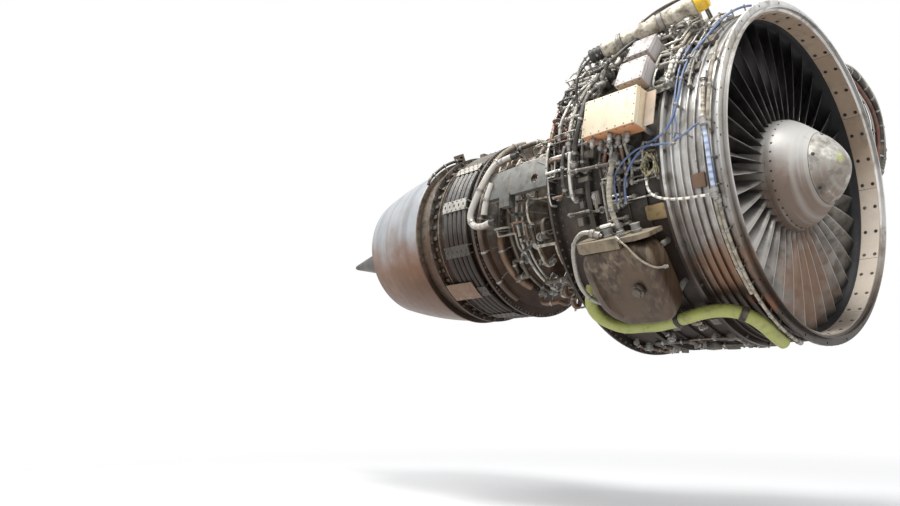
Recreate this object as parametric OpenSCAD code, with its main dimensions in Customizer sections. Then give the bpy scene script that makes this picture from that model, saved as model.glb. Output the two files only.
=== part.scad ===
// Two-spool bypass jet engine, bare of its nacelle, with its accessories on the fan case.
// X runs along the shaft, forward out of the inlet, and Z is up. The origin is the centre of the
// front flange face. An angle round the engine starts at the top and grows toward -Y.

/* [Fan] */
// Radius over the fan blade tips
fan_tip_r = 762; // [750:1:780]
// Number of fan blades
fan_blade_n = 38; // [34:1:40]
// Radius of the hub where the blade roots begin
hub_r = 272; // [270:1:276]
// Chord of a fan blade at its root
root_chord = 140; // [120:1:144]
// Chord of a fan blade at its tip
tip_chord = 188; // [160:1:196]
// Stagger of a fan blade at its tip, in degrees
tip_stagger = 60; // [54:1:66]
// Running gap between a rotor and the case round it
run_gap = 3; // [2.5:0.5:4]
// Length of the spinner ahead of the front flange face
spinner_nose = 171; // [150:1:190]

/* [Fan case] */
// Thickness of the fan case wall
case_t = 10; // [8:1:12]
// Height of the front flange above the case skin
flange_h = 38; // [34:1:42]
// Thickness of each bolted flange
flange_t = 14; // [10:1:16]
// Length of the ribbed front case
front_case_len = 290; // [284:1:300]
// Length of the outer duct case behind it
duct_len = 410; // [400:1:430]
// Number of bolt holes in the front flange
inlet_bolt_n = 24; // [20:1:30]
// Diameter of each hole in the front flange
inlet_bolt_d = 11; // [8:1:13]
// Number of liner panels inside the lip
panel_n = 12; // [10:1:14]

/* [Core] */
// Length of the fan frame
frame_len = 240; // [236:1:250]
// Outer radius of the bypass duct's inner wall
splitter_r = 480; // [474:1:486]
// Length of the high-pressure compressor
hpc_len = 460; // [452:1:470]
// Length of the combustion section
combustor_len = 300; // [290:1:320]
// Length of the high-pressure turbine section
hpt_len = 90; // [84:1:96]
// Length of the low-pressure turbine
lpt_len = 410; // [404:1:430]
// Length of the turbine rear frame
rear_frame_len = 130; // [120:1:140]
// Radius of the turbine rear frame flange
turbine_flange_r = 563; // [560:1:570]

/* [Exhaust] */
// Length of the exhaust nozzle
nozzle_len = 670; // [600:1:720]
// Inner radius of the nozzle mouth
nozzle_mouth_r = 436; // [420:1:460]
// Length of the plug behind the nozzle mouth
plug_out = 850; // [760:1:900]

/* [Hidden] */
$fn = 96;

// Radii of the fan case
shroud_t = 12;
shroud_r = fan_tip_r + run_gap;
case_in_r = shroud_r + shroud_t;
case_r = case_in_r + case_t;
flange_r = case_r + flange_h;
mid_flange_r = case_r + 28;
rib_h = 12;
rib_t = 5;
lip_t = 8;
lip_len = 18;
inlet_bolt_r = flange_r - 13;
mid_bolt_r = case_r + 16;
mid_bolt_n = 24;
core_bolt_n = 36;

// Stations along the shaft, each behind the one before
duct_x = -front_case_len;
frame_x = duct_x - duct_len;
hpc_x = frame_x - frame_len;
combustor_x = hpc_x - hpc_len;
hpt_x = combustor_x - combustor_len;
lpt_x = hpt_x - hpt_len;
rear_frame_x = lpt_x - lpt_len;
nozzle_x = rear_frame_x - rear_frame_len;
mouth_x = nozzle_x - nozzle_len;

// Fan rotor
disk_front_x = -110;
disk_len = 150;
disk_rear_x = disk_front_x - disk_len;
blade_mid_x = disk_front_x - 70;
slot_fit = 0.3;
disk_rim_r = hub_r - 14;
panel_rear_x = -100;
seam_x = 58;
seam_r = 171;
skirt_x = -98;

// Booster
booster_tip_r = splitter_r - 55;
booster_hub_r = booster_tip_r - 75;
booster_case_in_r = booster_tip_r + run_gap;
booster_case_t = 9;
nose_x = duct_x - 40;
booster_end_x = frame_x + 60;
booster_pitch = 90;

// High-pressure compressor
hpc_tip_r = 242;
hpc_case_in_r = 252;
hpc_case_r = 262;
hpc_pitch = 46;
hpc_stages = 9;
hpc_drum_r = 158;
stem_n = 16;
vsv_travel_r = 296;
pad_theta = 14;

// Turbines and combustion
burner_r = 385;
hpt_tip_r = 343;
lpt_pitch = (lpt_len - 10) / 4;
lpt_hub_r = 345;
lpt_skin_r = turbine_flange_r - 58;
lpt_disc_x = lpt_x - 227;
turbine_bolt_r = turbine_flange_r - 13;
plug_r = 330;

// Drive to the gearbox
drive_theta = -100;
drive_x = frame_x - 150;
side_shaft_r = case_r + 93;
box_x = duct_x - 40;

// Mounts
lug_hole_d = 32;
frame_lug_r = splitter_r + 110;
rear_lug_r = lpt_skin_r + 80;
mount_angles = [-33, 33];
rear_angles = [-24, 0, 24];

// Struts of the fan frame
strut_step = 30;
strut_front_x = frame_x - 60;
strut_len = 145;

function on_ring(r, a) = [r * cos(a), r * sin(a)];
function half_angle(t, r) = asin(t / 2 / r);
function hub_at(i) = 175 + 4.5 * i;
function rotor_x(i) = hpc_x - 25 - hpc_pitch * i;
function stator_x(i) = rotor_x(i) - 26;
function lpt_case_in_r(i) = lpt_skin_r - 73 + 22 * i;
function round_to_xyz(p) = [p[0], -p[2] * sin(p[1]), p[2] * cos(p[1])];

// A corner-cutting pass, which rounds a route
function cut(p) = concat([p[0]], [for (i = [0:len(p) - 2]) each
    [p[i] * 0.75 + p[i + 1] * 0.25, p[i] * 0.25 + p[i + 1] * 0.75]], [p[len(p) - 1]]);
function route(p) = cut(cut([for (q = p) round_to_xyz(q)]));
function unit(v) = v / norm(v);
function tangent(p, i) = unit(p[min(i + 1, len(p) - 1)] - p[max(i - 1, 0)]);
function turn_side(side, t) = unit(side - t * (side * t));
function sides(p, side, i = 0) = i >= len(p) ? [] :
    let (s = turn_side(side, tangent(p, i))) concat([s], sides(p, s, i + 1));

// A tube of round section swept along a route of [x, angle, radius] points
module pipe(points, d, n = 8) {
    p = route(points);
    t0 = tangent(p, 0);
    start = abs(t0[0]) < 0.8 ? [1, 0, 0] : [0, 0.6, 0.8];
    s = sides(p, start);
    rings = [for (i = [0:len(p) - 1]) let (t = tangent(p, i), u = cross(t, s[i]))
        for (k = [0:n - 1]) p[i] + d / 2 * (s[i] * cos(360 * k / n) + u * sin(360 * k / n))];
    last = n * (len(p) - 1);
    walls = [for (i = [0:len(p) - 2], k = [0:n - 1]) let (a = i * n, b = (k + 1) % n)
        each [[a + k, a + n + k, a + n + b], [a + k, a + n + b, a + b]]];
    caps = [[for (k = [0:n - 1]) k], [for (k = [n - 1:-1:0]) last + k]];
    polyhedron(rings, concat(caps, walls));
}

// A solid turned about the shaft from a list of [x, radius] points
module turned(profile) {
    rotate([0, 90, 0])
        rotate_extrude()
            polygon([for (p = profile) [p[1], p[0]]]);
}

module ring(front, rear, r_in, r_out) {
    turned([[front, r_in], [rear, r_in], [rear, r_out], [front, r_out]]);
}

// Part of a turned solid between two angles, from a flat shape in [radius, x]
module arc(from, to) {
    rotate([0, 90, 0])
        rotate([0, 0, 180 + from])
            rotate_extrude(angle = to - from)
                children();
}

module arc_block(from, to, front, rear, r_in, r_out) {
    arc(from, to)
        translate([r_in, rear])
            square([r_out - r_in, front - rear]);
}

// A place on the engine, with Z outward, X forward and -Y round toward larger angles
module at(theta, r, x) {
    translate([x, 0, 0])
        rotate([theta, 0, 0])
            translate([0, 0, r])
                children();
}

module along_x(x, len, r) {
    translate([x - len, 0, 0])
        rotate([0, 90, 0])
            cylinder(r = r, h = len);
}

// A round bar between two points
module bar(a, b, r) {
    v = b - a;
    translate(a)
        rotate([0, acos(v[2] / norm(v)), atan2(v[1], v[0])])
            cylinder(r = r, h = norm(v));
}

// Cuts whatever it is given to sit on a round surface about the shaft
module seated(r) {
    difference() {
        children();
        along_x(400, 4400, r);
    }
}

// A rotor disc with straight blades, as one flat shape extruded along the shaft
module blade_row(x, chord, n, r_bore, r_root, r_tip, t) {
    a = half_angle(t, r_root);
    b = half_angle(t, r_tip);
    translate([x - chord, 0, 0])
        rotate([0, 90, 0])
            linear_extrude(chord)
                difference() {
                    polygon([for (i = [0:n - 1]) let (m = 360 * i / n) each [
                        on_ring(r_root, m - a), on_ring(r_tip, m - b),
                        on_ring(r_tip, m + b), on_ring(r_root, m + a)]]);
                    circle(r_bore);
                }
}

// A ring of vanes between an inner and an outer band
module vane_row(x, chord, n, r_in, r_out, band_in, band_out, t) {
    a = half_angle(t, r_in);
    b = half_angle(t, r_out);
    windows = [for (i = [0:n - 1]) let (m = 360 * i / n, e = 360 * (i + 1) / n) each [
        on_ring(r_in, m + a), on_ring(r_out, m + b), on_ring(r_out, e - b), on_ring(r_in, e - a)]];
    translate([x - chord, 0, 0])
        rotate([0, 90, 0])
            linear_extrude(chord)
                difference() {
                    circle(r_out + band_out);
                    polygon(windows, [for (i = [0:n - 1]) [for (k = [0:3]) 4 * i + k]]);
                    circle(r_in - band_in);
                }
}

module bolt_circle(n, r, x, start = 0) {
    for (i = [0:n - 1])
        at(start + 360 * i / n, r, x)
            children();
}

// Holes along the shaft on a circle
module bolt_holes(n, r, x, len, d) {
    bolt_circle(n, r, x)
        along_x(1, len + 2, d / 2);
}

// A bolt through two flanges that meet at its origin, with its head in front
module flange_bolt(grip, d) {
    along_x(grip, 2 * grip, d / 2);
    along_x(grip + 6, 6, d);
    translate([-grip - 7, 0, 0])
        rotate([0, 90, 0])
            cylinder(r = d * 0.95, h = 7, $fn = 6);
}

// Front case: lip, drilled front flange, ribs and rear flange
module fan_case() {
    ribs = [for (i = [1:6]) -14 - 38 * i];
    color("silver")
        difference() {
            turned(concat(
                [[0, case_in_r + lip_t], [lip_len, case_in_r + lip_t], [lip_len, case_in_r + 2 * lip_t],
                    [0, case_in_r + 2 * lip_t], [0, flange_r], [-flange_t, flange_r], [-flange_t, case_r]],
                [for (x = ribs) each [[x, case_r], [x, case_r + rib_h], [x - rib_t, case_r + rib_h],
                    [x - rib_t, case_r]]],
                [[duct_x + flange_t, case_r], [duct_x + flange_t, mid_flange_r], [duct_x, mid_flange_r],
                    [duct_x, case_in_r], [-lip_t, case_in_r]]));
            bolt_holes(inlet_bolt_n, inlet_bolt_r, 0, flange_t, inlet_bolt_d);
            bolt_holes(mid_bolt_n, mid_bolt_r, duct_x + flange_t, flange_t, 8.4);
        }
}

panel_r = shroud_r + 3;
panel_head_h = 2.5;
panel_head_r = 6;
panel_spots = [0.06, 0.4, 0.75];
panel_bolt_xs = [-25, -78];

module panel_bolt_places() {
    for (i = [0:panel_n - 1], s = panel_spots, x = panel_bolt_xs)
        at(4 + 360 / panel_n * (i + s), 0, x)
            children();
}

// Liner panels inside the lip, one to each sector
module inlet_liner_panels() {
    step = 360 / panel_n;
    color("tan")
        for (i = [0:panel_n - 1])
            arc_block(4 + step * i + 0.08, 4 + step * (i + 1) - 0.08, -lip_t, panel_rear_x,
                panel_r, case_in_r);
}

// Flat bolt heads, each resting on its panel by the edge
module panel_bolts() {
    top = sqrt(panel_r * panel_r - panel_head_r * panel_head_r);
    color("dimgray")
        panel_bolt_places()
            translate([0, 0, top - panel_head_h])
                cylinder(r = panel_head_r, h = panel_head_h);
}

// Soft liner that the blade tips run in
module fan_shroud_ring() {
    color("darkslategray")
        ring(panel_rear_x, duct_x, shroud_r, case_in_r);
}

module outer_duct_case() {
    ribs = [for (i = [1:3]) duct_x - 8 - 98 * i];
    color("dimgray")
        difference() {
            turned(concat(
                [[duct_x, case_in_r], [duct_x, mid_flange_r], [duct_x - flange_t, mid_flange_r],
                    [duct_x - flange_t, case_r]],
                [for (x = ribs) each [[x, case_r], [x, case_r + rib_h], [x - rib_t, case_r + rib_h],
                    [x - rib_t, case_r]]],
                [[frame_x + flange_t, case_r], [frame_x + flange_t, mid_flange_r],
                    [frame_x, mid_flange_r], [frame_x, case_in_r]]));
            bolt_holes(mid_bolt_n, mid_bolt_r, duct_x, flange_t, 8.4);
            bolt_holes(mid_bolt_n, mid_bolt_r, frame_x + flange_t, flange_t, 8.4);
        }
}

module outlet_guide_vanes() {
    color("gray")
        vane_row(duct_x - 140, 100, 72, splitter_r + 6, case_in_r - 4, 6, 4, 6);
}

// Splitter nose, bypass inner wall and booster case in one shell
module booster_case() {
    shell = booster_case_in_r + booster_case_t;
    color("gray")
        turned([[nose_x, booster_case_in_r + 2], [nose_x - 90, splitter_r], [booster_end_x, splitter_r],
            [booster_end_x, splitter_r - 6], [nose_x - 95, splitter_r - 6], [nose_x - 22, shell],
            [booster_end_x, shell], [booster_end_x, booster_case_in_r], [nose_x - 2, booster_case_in_r]]);
}

module booster_vanes() {
    color("lightgray")
        for (i = [0:2])
            vane_row(nose_x - 55 - booster_pitch * i, 34, 36, booster_hub_r + run_gap + 5,
                booster_case_in_r - 5, 5, 5, 3);
}

// Outer ring, twelve struts, both gooseneck walls and the bearing ring, cast and welded as one
module fan_frame() {
    r_rear = flange_r + 7;
    neck = [[booster_end_x, booster_case_in_r], [frame_x, booster_case_in_r - 12],
        [frame_x - 100, hpc_case_in_r + 79], [frame_x - 180, hpc_case_in_r + 14], [hpc_x, hpc_case_in_r]];
    hub = [[booster_end_x, booster_hub_r], [frame_x, booster_hub_r - 8], [frame_x - 100, hpc_drum_r + 104],
        [frame_x - 180, hpc_drum_r + 42], [hpc_x, hpc_drum_r + 20]];
    color("darkslategray")
        difference() {
            union() {
                turned([[frame_x, case_in_r], [frame_x, mid_flange_r], [frame_x - flange_t, mid_flange_r],
                    [frame_x - flange_t, case_r], [hpc_x + flange_t, case_r], [hpc_x + flange_t, r_rear],
                    [hpc_x, r_rear], [hpc_x, case_in_r]]);
                turned([[booster_end_x, splitter_r - 6], [booster_end_x, splitter_r], [hpc_x + 12, splitter_r],
                    [hpc_x + 12, splitter_r + 25], [hpc_x, splitter_r + 25], [hpc_x, splitter_r - 6]]);
                turned(concat(neck, [[hpc_x, hpc_case_r + 24], [hpc_x + 10, hpc_case_r + 24],
                    [hpc_x + 10, hpc_case_r + 3]],
                    [for (i = [3:-1:0]) neck[i] + [0, booster_case_t]]));
                turned(concat(hub, [for (i = [4:-1:0]) hub[i] - [0, 8]]));
                ring(frame_x - 90, frame_x - 102, 125, 258);
                ring(frame_x + 50, hpc_x + 36, 120, 132);
                for (i = [0:11])
                    at(drive_theta + strut_step * i, 0, 0)
                        translate([strut_front_x - strut_len, i == 0 ? -32 : -8, 160])
                            cube([strut_len, i == 0 ? 64 : 16, case_in_r - 156]);
                for (a = mount_angles)
                    at(a, splitter_r + 15, hpc_x + 2)
                        translate([0, -35, 0])
                            cube([40, 70, frame_lug_r - splitter_r + 20]);
            }
            at(drive_theta, 100, drive_x)
                cylinder(r = 24, h = case_r);
            for (a = mount_angles)
                at(a, frame_lug_r, hpc_x)
                    along_x(60, 70, lug_hole_d / 2);
            bolt_holes(mid_bolt_n, mid_bolt_r, frame_x, flange_t, 8.4);
        }
}

// Bolts of the flanges that show, all one pattern of bolt
module flange_bolts() {
    color("gray") {
        bolt_circle(mid_bolt_n, mid_bolt_r, duct_x)
            flange_bolt(flange_t, 8);
        bolt_circle(mid_bolt_n, mid_bolt_r, frame_x)
            flange_bolt(flange_t, 8);
        bolt_circle(core_bolt_n, turbine_bolt_r, lpt_x)
            flange_bolt(10, 8);
        bolt_circle(core_bolt_n, turbine_bolt_r, rear_frame_x)
            flange_bolt(10, 8);
    }
}

module stem_places(rows) {
    for (i = rows, k = [0:stem_n - 1])
        at(360 / stem_n * (k + 0.5), 0, stator_x(i) - 8)
            children();
}

module hpc_case() {
    color("gray")
        difference() {
            turned([[hpc_x, hpc_case_in_r], [hpc_x, hpc_case_r + 24], [hpc_x - 10, hpc_case_r + 24],
                [hpc_x - 10, hpc_case_r], [rotor_x(5), hpc_case_r], [rotor_x(5) - 6, hpc_case_r + 40],
                [rotor_x(7), hpc_case_r + 40], [rotor_x(7) - 6, hpc_case_r], [combustor_x + 10, hpc_case_r],
                [combustor_x + 10, hpc_case_r + 28], [combustor_x, hpc_case_r + 28],
                [combustor_x, hpc_case_in_r]]);
            turned([[rotor_x(5) - 14, hpc_case_r], [rotor_x(7) + 8, hpc_case_r],
                [rotor_x(7) + 8, hpc_case_r + 32], [rotor_x(5) - 14, hpc_case_r + 32]]);
            stem_places([0:3])
                translate([0, 0, hpc_case_in_r - 6])
                    cylinder(r = 4.4, h = 30);
        }
}

module stator_row(i) {
    vane_row(stator_x(i), 16, 22, hub_at(i) + 7, hpc_tip_r, 4, hpc_case_in_r - hpc_tip_r, 2.4);
}

// Stator rings; the front four carry stems and levers outside the case
module hpc_vanes() {
    color("lightsteelblue") {
        for (i = [4:hpc_stages - 1])
            stator_row(i);
        for (i = [0:3])
            union() {
                stator_row(i);
                stem_places([i])
                    translate([0, 0, hpc_tip_r + 2])
                        cylinder(r = 4, h = 46);
                stem_places([i])
                    translate([-24, -4, hpc_tip_r + 44])
                        cube([28, 8, 4]);
            }
    }
}

// Ring that turns the vane levers of two rows, on pads that slide on the case
module vsv_ring(rows) {
    color("darkgray")
        for (i = rows) {
            x = stator_x(i) - 29;
            union() {
                ring(x + 4, x - 4, vsv_travel_r, vsv_travel_r + 8);
                for (k = [0, 3, 5, 8, 11, 13], a = 360 / stem_n * k + pad_theta)
                    arc_block(a, a + 5, x + 3, x - 3, hpc_case_r + slot_fit, vsv_travel_r + 4);
                at(75, vsv_travel_r, x)
                    translate([-4, -8, 4])
                        cube([8, 16, 40]);
            }
        }
}

module vsv_ring_front() { vsv_ring([0, 1]); }
module vsv_ring_rear() { vsv_ring([2, 3]); }

actuator_x = stator_x(2) - 6;
actuator_r = vsv_travel_r + 32;

// Hydraulic cylinder beside the rings, on a post from the case
module vsv_actuators() {
    color("gray")
        difference() {
            union() {
                at(75, actuator_r, actuator_x)
                    translate([0, 190, 0])
                        rotate([90, 0, 0])
                            cylinder(r = 20, h = 130);
                seated(hpc_case_r)
                    at(75, hpc_case_r - 62, actuator_x)
                        translate([-9, 105, 0])
                            cube([18, 60, actuator_r - hpc_case_r + 52]);
            }
            at(75, actuator_r, actuator_x)
                translate([0, 150, 0])
                    rotate([90, 0, 0])
                        cylinder(r = 8.3, h = 120);
        }
}

// Sliding rod of the cylinder, with the crosshead that drives the ring lugs
module vsv_rods() {
    color("silver")
        at(75, actuator_r, actuator_x)
            union() {
                translate([0, 120, 0])
                    rotate([90, 0, 0])
                        cylinder(r = 8, h = 96);
                translate([-70, 14, -5])
                    cube([150, 10, 18]);
            }
}

module combustion_case() {
    front = combustor_x;
    rear = hpt_x;
    color("darkgray")
        difference() {
            turned([[front, hpc_case_in_r], [front, hpc_case_r + 28], [front - 10, hpc_case_r + 28],
                [front - 10, hpc_case_r + 8], [front - 60, burner_r - 10], [front - 80, burner_r],
                [rear + 10, burner_r], [rear + 10, burner_r + 40], [rear, burner_r + 40],
                [rear, burner_r - 8], [front - 80, burner_r - 8], [front - 64, burner_r - 16],
                [front - 12, hpc_case_in_r]]);
            nozzle_places()
                translate([0, 0, 300])
                    cylinder(r = 12, h = 120);
        }
}

module nozzle_places() {
    for (i = [0:19])
        at(18 * i + 9, 0, combustor_x - 90)
            children();
}

// Annular liner: dome with twenty mouths, outer and inner walls
module combustor_liner() {
    front = combustor_x - 112;
    rear = hpt_x + 26;
    color("peru")
        difference() {
            turned([[front, 232], [front, 346], [rear, 348], [rear, 345], [front - 8, 343],
                [front - 8, 235], [rear, 290], [rear, 287]]);
            for (i = [0:19])
                at(18 * i + 9, 290, front + 5)
                    along_x(0, 20, 16);
        }
}

// Twenty nozzles, each a flange, a stem and a tip in its dome mouth
module fuel_nozzles() {
    color("silver")
        nozzle_places()
            union() {
                seated(burner_r)
                    translate([0, 0, burner_r - 4])
                        cylinder(r = 22, h = 13);
                translate([0, 0, 276])
                    cylinder(r = 9, h = burner_r - 260);
                translate([0, 0, 290])
                    along_x(0, 36, 11);
                translate([0, 0, burner_r + 6])
                    cylinder(r = 7, h = 40.5);
            }
}

module fuel_manifold() {
    color("goldenrod")
        union() {
            arc(-170, 173)
                translate([burner_r + 54, combustor_x - 90])
                    circle(7.5);
            bar(round_to_xyz([combustor_x - 90, 173, burner_r + 54]),
                round_to_xyz([combustor_x - 90, 178, burner_r + 54]), 10);
        }
}

module hpt_nozzle_ring() {
    color("peru")
        vane_row(hpt_x + 26, 30, 42, 295, 340, 8, 8, 5);
}

module hpt_case() {
    color("dimgray")
        difference() {
            turned([[hpt_x, burner_r - 8], [hpt_x, burner_r + 40], [hpt_x - 10, burner_r + 40],
                [hpt_x - 10, burner_r + 16], [lpt_x + 20, lpt_skin_r - 35], [lpt_x + 10, lpt_skin_r - 5],
                [lpt_x + 10, turbine_flange_r], [lpt_x, turbine_flange_r], [lpt_x, lpt_skin_r - 49],
                [hpt_x - 26, burner_r - 8], [hpt_x - 26, hpt_tip_r + run_gap + 12],
                [hpt_x - 62, hpt_tip_r + run_gap + 12], [hpt_x - 62, hpt_tip_r + run_gap],
                [hpt_x - 4, hpt_tip_r + run_gap], [hpt_x - 4, burner_r - 8]]);
            bolt_holes(core_bolt_n, turbine_bolt_r, lpt_x + 10, 10, 8.4);
        }
}

module lpt_case() {
    end = rear_frame_x;
    color("dimgray")
        difference() {
            turned(concat(
                [[lpt_x, lpt_skin_r - 8], [lpt_x, turbine_flange_r], [lpt_x - 10, turbine_flange_r],
                    [lpt_x - 10, lpt_skin_r], [end + 10, lpt_skin_r + 20], [end + 10, turbine_flange_r],
                    [end, turbine_flange_r], [end, lpt_skin_r + 12]],
                [for (i = [3:-1:0]) let (x = lpt_x - 8 - lpt_pitch * i, s = lpt_skin_r - 8 + 5 * i) each
                    [[x - 34, s + 2], [x - 34, lpt_case_in_r(i)], [x, lpt_case_in_r(i)], [x, s]]]));
            bolt_holes(core_bolt_n, turbine_bolt_r, lpt_x, 10, 8.4);
            bolt_holes(core_bolt_n, turbine_bolt_r, rear_frame_x + 10, 10, 8.4);
        }
}

// Carrier hooks of the case hold the four vane rings
module lpt_vanes() {
    color("dimgray")
        for (i = [0:3])
            vane_row(lpt_x - 8 - lpt_pitch * i, 34, 34, lpt_hub_r + run_gap + 5,
                lpt_case_in_r(i) - 6, 5, 6, 3);
}

tube_step = 42;
tube_r = lpt_skin_r + 25;
strap_r = tube_r + 13;
tube_xs = [for (i = [0:4]) lpt_x - 95 - tube_step * i];
strap_angles = [for (i = [0:11]) 30 * i + 12];

// Air tubes round the turbine case, held by straps
module lpt_cooling_tubes() {
    front = tube_xs[0] + 22;
    rear = tube_xs[4] - 22;
    color("gray")
        difference() {
            union() {
                for (x = tube_xs)
                    turned([[x + 11, tube_r], [x + 11, tube_r + 11], [x + 6, tube_r + 16],
                        [x - 6, tube_r + 16], [x - 11, tube_r + 11], [x - 11, tube_r]]);
                for (a = strap_angles) {
                    arc_block(a - 3, a + 3, front, rear, strap_r, strap_r + 6);
                    arc_block(a - 3, a + 3, front, front - 5, lpt_skin_r - 6, strap_r + 6);
                    arc_block(a - 3, a + 3, rear + 5, rear, lpt_skin_r - 6, strap_r + 6);
                }
            }
            turned([[lpt_x - 10, 0], [lpt_x - 10, lpt_skin_r], [rear_frame_x + 10, lpt_skin_r + 20],
                [rear_frame_x + 10, 0]]);
        }
}

module turbine_rear_frame() {
    front = rear_frame_x;
    rear = nozzle_x;
    skin_r = lpt_skin_r + 25;
    color("gray")
        difference() {
            union() {
                turned([[front, skin_r - 15], [front, turbine_flange_r], [front - 10, turbine_flange_r],
                    [front - 10, skin_r], [rear + 10, skin_r], [rear + 10, turbine_flange_r],
                    [rear, turbine_flange_r], [rear, skin_r - 8]]);
                ring(front - 5, rear, plug_r - 8, plug_r);
                ring(front - 50, front - 58, 90, plug_r - 4);
                ring(front - 35, front - 85, 84, 94);
                for (i = [0:11])
                    at(30 * i, 0, 0)
                        translate([rear + 20, -6, plug_r - 4])
                            cube([80, 12, skin_r - plug_r - 1]);
                for (a = rear_angles)
                    at(a, skin_r - 15, front - 65)
                        translate([-20, -30, 0])
                            cube([40, 60, 100]);
            }
            for (a = rear_angles)
                at(a, rear_lug_r, front - 65)
                    along_x(40, 80, lug_hole_d / 2);
            bolt_holes(core_bolt_n, turbine_bolt_r, rear_frame_x, 10, 8.4);
        }
}

module exhaust_nozzle() {
    r0 = turbine_bolt_r;
    steps = 8;
    function skin(s) = [nozzle_x - nozzle_len * s,
        r0 + (nozzle_mouth_r + 4 - r0) * (0.35 * s + 0.65 * s * s)];
    color("lightgray")
        turned(concat(
            [[nozzle_x, r0 - 14], [nozzle_x, turbine_flange_r], [nozzle_x - 8, turbine_flange_r],
                [nozzle_x - 8, r0]],
            [for (i = [1:steps]) skin(i / steps)],
            [for (i = [steps:-1:1]) skin(i / steps) - [0, 4]],
            [[nozzle_x - 8, r0 - 14]]));
}

// Plug: a hollow cone with a blunt tip, on the rear frame hub
module exhaust_plug() {
    tip = mouth_x - plug_out;
    color("dimgray")
        turned([[nozzle_x, plug_r], [nozzle_x - 160, plug_r - 8], [nozzle_x - 420, plug_r - 60],
            [mouth_x, plug_r - 134], [tip + 30, 22], [tip + 8, 16], [tip, 0], [tip + 30, 0],
            [mouth_x, plug_r - 140], [nozzle_x - 420, plug_r - 66], [nozzle_x - 160, plug_r - 14],
            [nozzle_x, plug_r - 8]]);
}

bearing_xs = [frame_x + 40, frame_x - 30, hpc_x + 55];

// Outer rings of the frame bearings, with their rollers
module bearing_outer_rings() {
    color("silver") {
        for (x = bearing_xs)
            union() bearing_set(x, 26, 96, 120);
        union() bearing_set(rear_frame_x - 45, 30, 60, 84);
    }
}

module bearing_set(x, w, r_in, r_out) {
    wall = (r_out - r_in) / 2;
    roller = wall / 2 + 0.5;
    ring(x, x - w, r_out - wall, r_out);
    for (i = [0:17])
        at(20 * i, r_in + roller, x - 3)
            along_x(0, w - 6, roller);
}

// Low-pressure spool
module spinner_rear() {
    color("gainsboro")
        turned([[skirt_x, hub_r], [-73, hub_r - 5], [-40, hub_r - 22], [0, hub_r - 51],
            [seam_x, seam_r], [seam_x, seam_r - 8], [0, hub_r - 57], [-40, hub_r - 28],
            [-73, hub_r - 11], [-88, hub_r - 8], [-88, 150], [skirt_x, 150]]);
}

module spinner_front() {
    color("lightgray")
        union() {
            turned([[seam_x, 0], [seam_x, seam_r], [90, 143], [120, 110], [145, 74], [160, 45],
                [spinner_nose - 3, 20], [spinner_nose, 0]]);
            for (i = [0:5])
                at(60 * i + 17, seam_r - 21, seam_x + 20)
                    rotate([0, 36, 0])
                        cylinder(r = 6, h = 10);
        }
}

slot_top = 6.5;
slot_foot = 12;
slot_bottom_r = disk_rim_r - 44;
slot_neck_r = disk_rim_r - 14;

// Disk with a dovetail slot for each blade
module fan_disk() {
    f = slot_fit;
    slot = [[slot_bottom_r - f, -slot_foot - f], [slot_bottom_r + 12, -slot_foot - f],
        [slot_neck_r, -slot_top - f], [disk_rim_r + 9, -slot_top - f],
        [disk_rim_r + 9, slot_top + f], [slot_neck_r, slot_top + f],
        [slot_bottom_r + 12, slot_foot + f], [slot_bottom_r - f, slot_foot + f]];
    color("gray")
        union() {
            translate([disk_rear_x, 0, 0])
                rotate([0, 90, 0])
                    linear_extrude(disk_len)
                        difference() {
                            circle(disk_rim_r);
                            for (i = [0:fan_blade_n - 1])
                                rotate(360 / fan_blade_n * i)
                                    polygon(slot);
                            circle(188);
                        }
            turned([[disk_front_x - 40, 60], [disk_front_x - 40, 110], [disk_front_x - 55, 190],
                [disk_rear_x + 10, 190], [disk_rear_x, 160], [disk_rear_x, 60]]);
            turned([[skirt_x, 150], [skirt_x, 182], [disk_front_x - 4, 192], [disk_front_x - 30, 192],
                [disk_front_x - 30, 182], [disk_front_x, 176], [disk_front_x, 150]]);
        }
}

// Blade sections as six points, nose first, in [x, y] about the blade's middle
function blade_section(chord, stagger, camber, thick) = [for (q = [[0, 0], [0.28, 1], [0.7, 0.72],
    [1, 0], [0.7, -0.72], [0.28, -1]])
    let (u = (0.5 - q[0]) * chord, v = 4 * camber * q[0] * (1 - q[0]) + q[1] * thick / 2)
    [u * cos(stagger) + v * sin(stagger), -u * sin(stagger) + v * cos(stagger)]];
function root_section(half) = let (a = disk_len / 2 - 1, m = disk_front_x - disk_len / 2 - blade_mid_x)
    [[m + a, -half], [m + a, half], [m - a / 3, half], [m - a, half], [m - a, -half],
    [m - a / 3, -half]];

root_airfoil = blade_section(root_chord, 10, 6, 13);
root_top_r = hub_r + 34;

// The airfoil's section at a share of its height, twisting and thinning outward
function airfoil_at(s) = blade_section(root_chord + (tip_chord - root_chord) * s,
    10 + (tip_stagger - 10) * pow(s, 0.85), 6 * (1 - 0.6 * s), 13 - 9.5 * s);
function flat_ring(points, r) = [for (q = points) [blade_mid_x + q[0], q[1], r]];
function round_ring(points, r) = [for (q = points) [blade_mid_x + q[0], q[1], sqrt(r * r - q[1] * q[1])]];
blade_rings = concat(
    [flat_ring(root_section(slot_foot), slot_bottom_r), flat_ring(root_section(slot_foot), slot_bottom_r + 12),
        flat_ring(root_section(slot_top), slot_neck_r), flat_ring(root_section(slot_top), disk_rim_r),
        flat_ring(root_airfoil, disk_rim_r + 4), flat_ring(root_airfoil, root_top_r)],
    [for (s = [0.3, 0.65, 1]) round_ring(airfoil_at(s), root_top_r + (fan_tip_r - root_top_r) * s)]);

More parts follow.
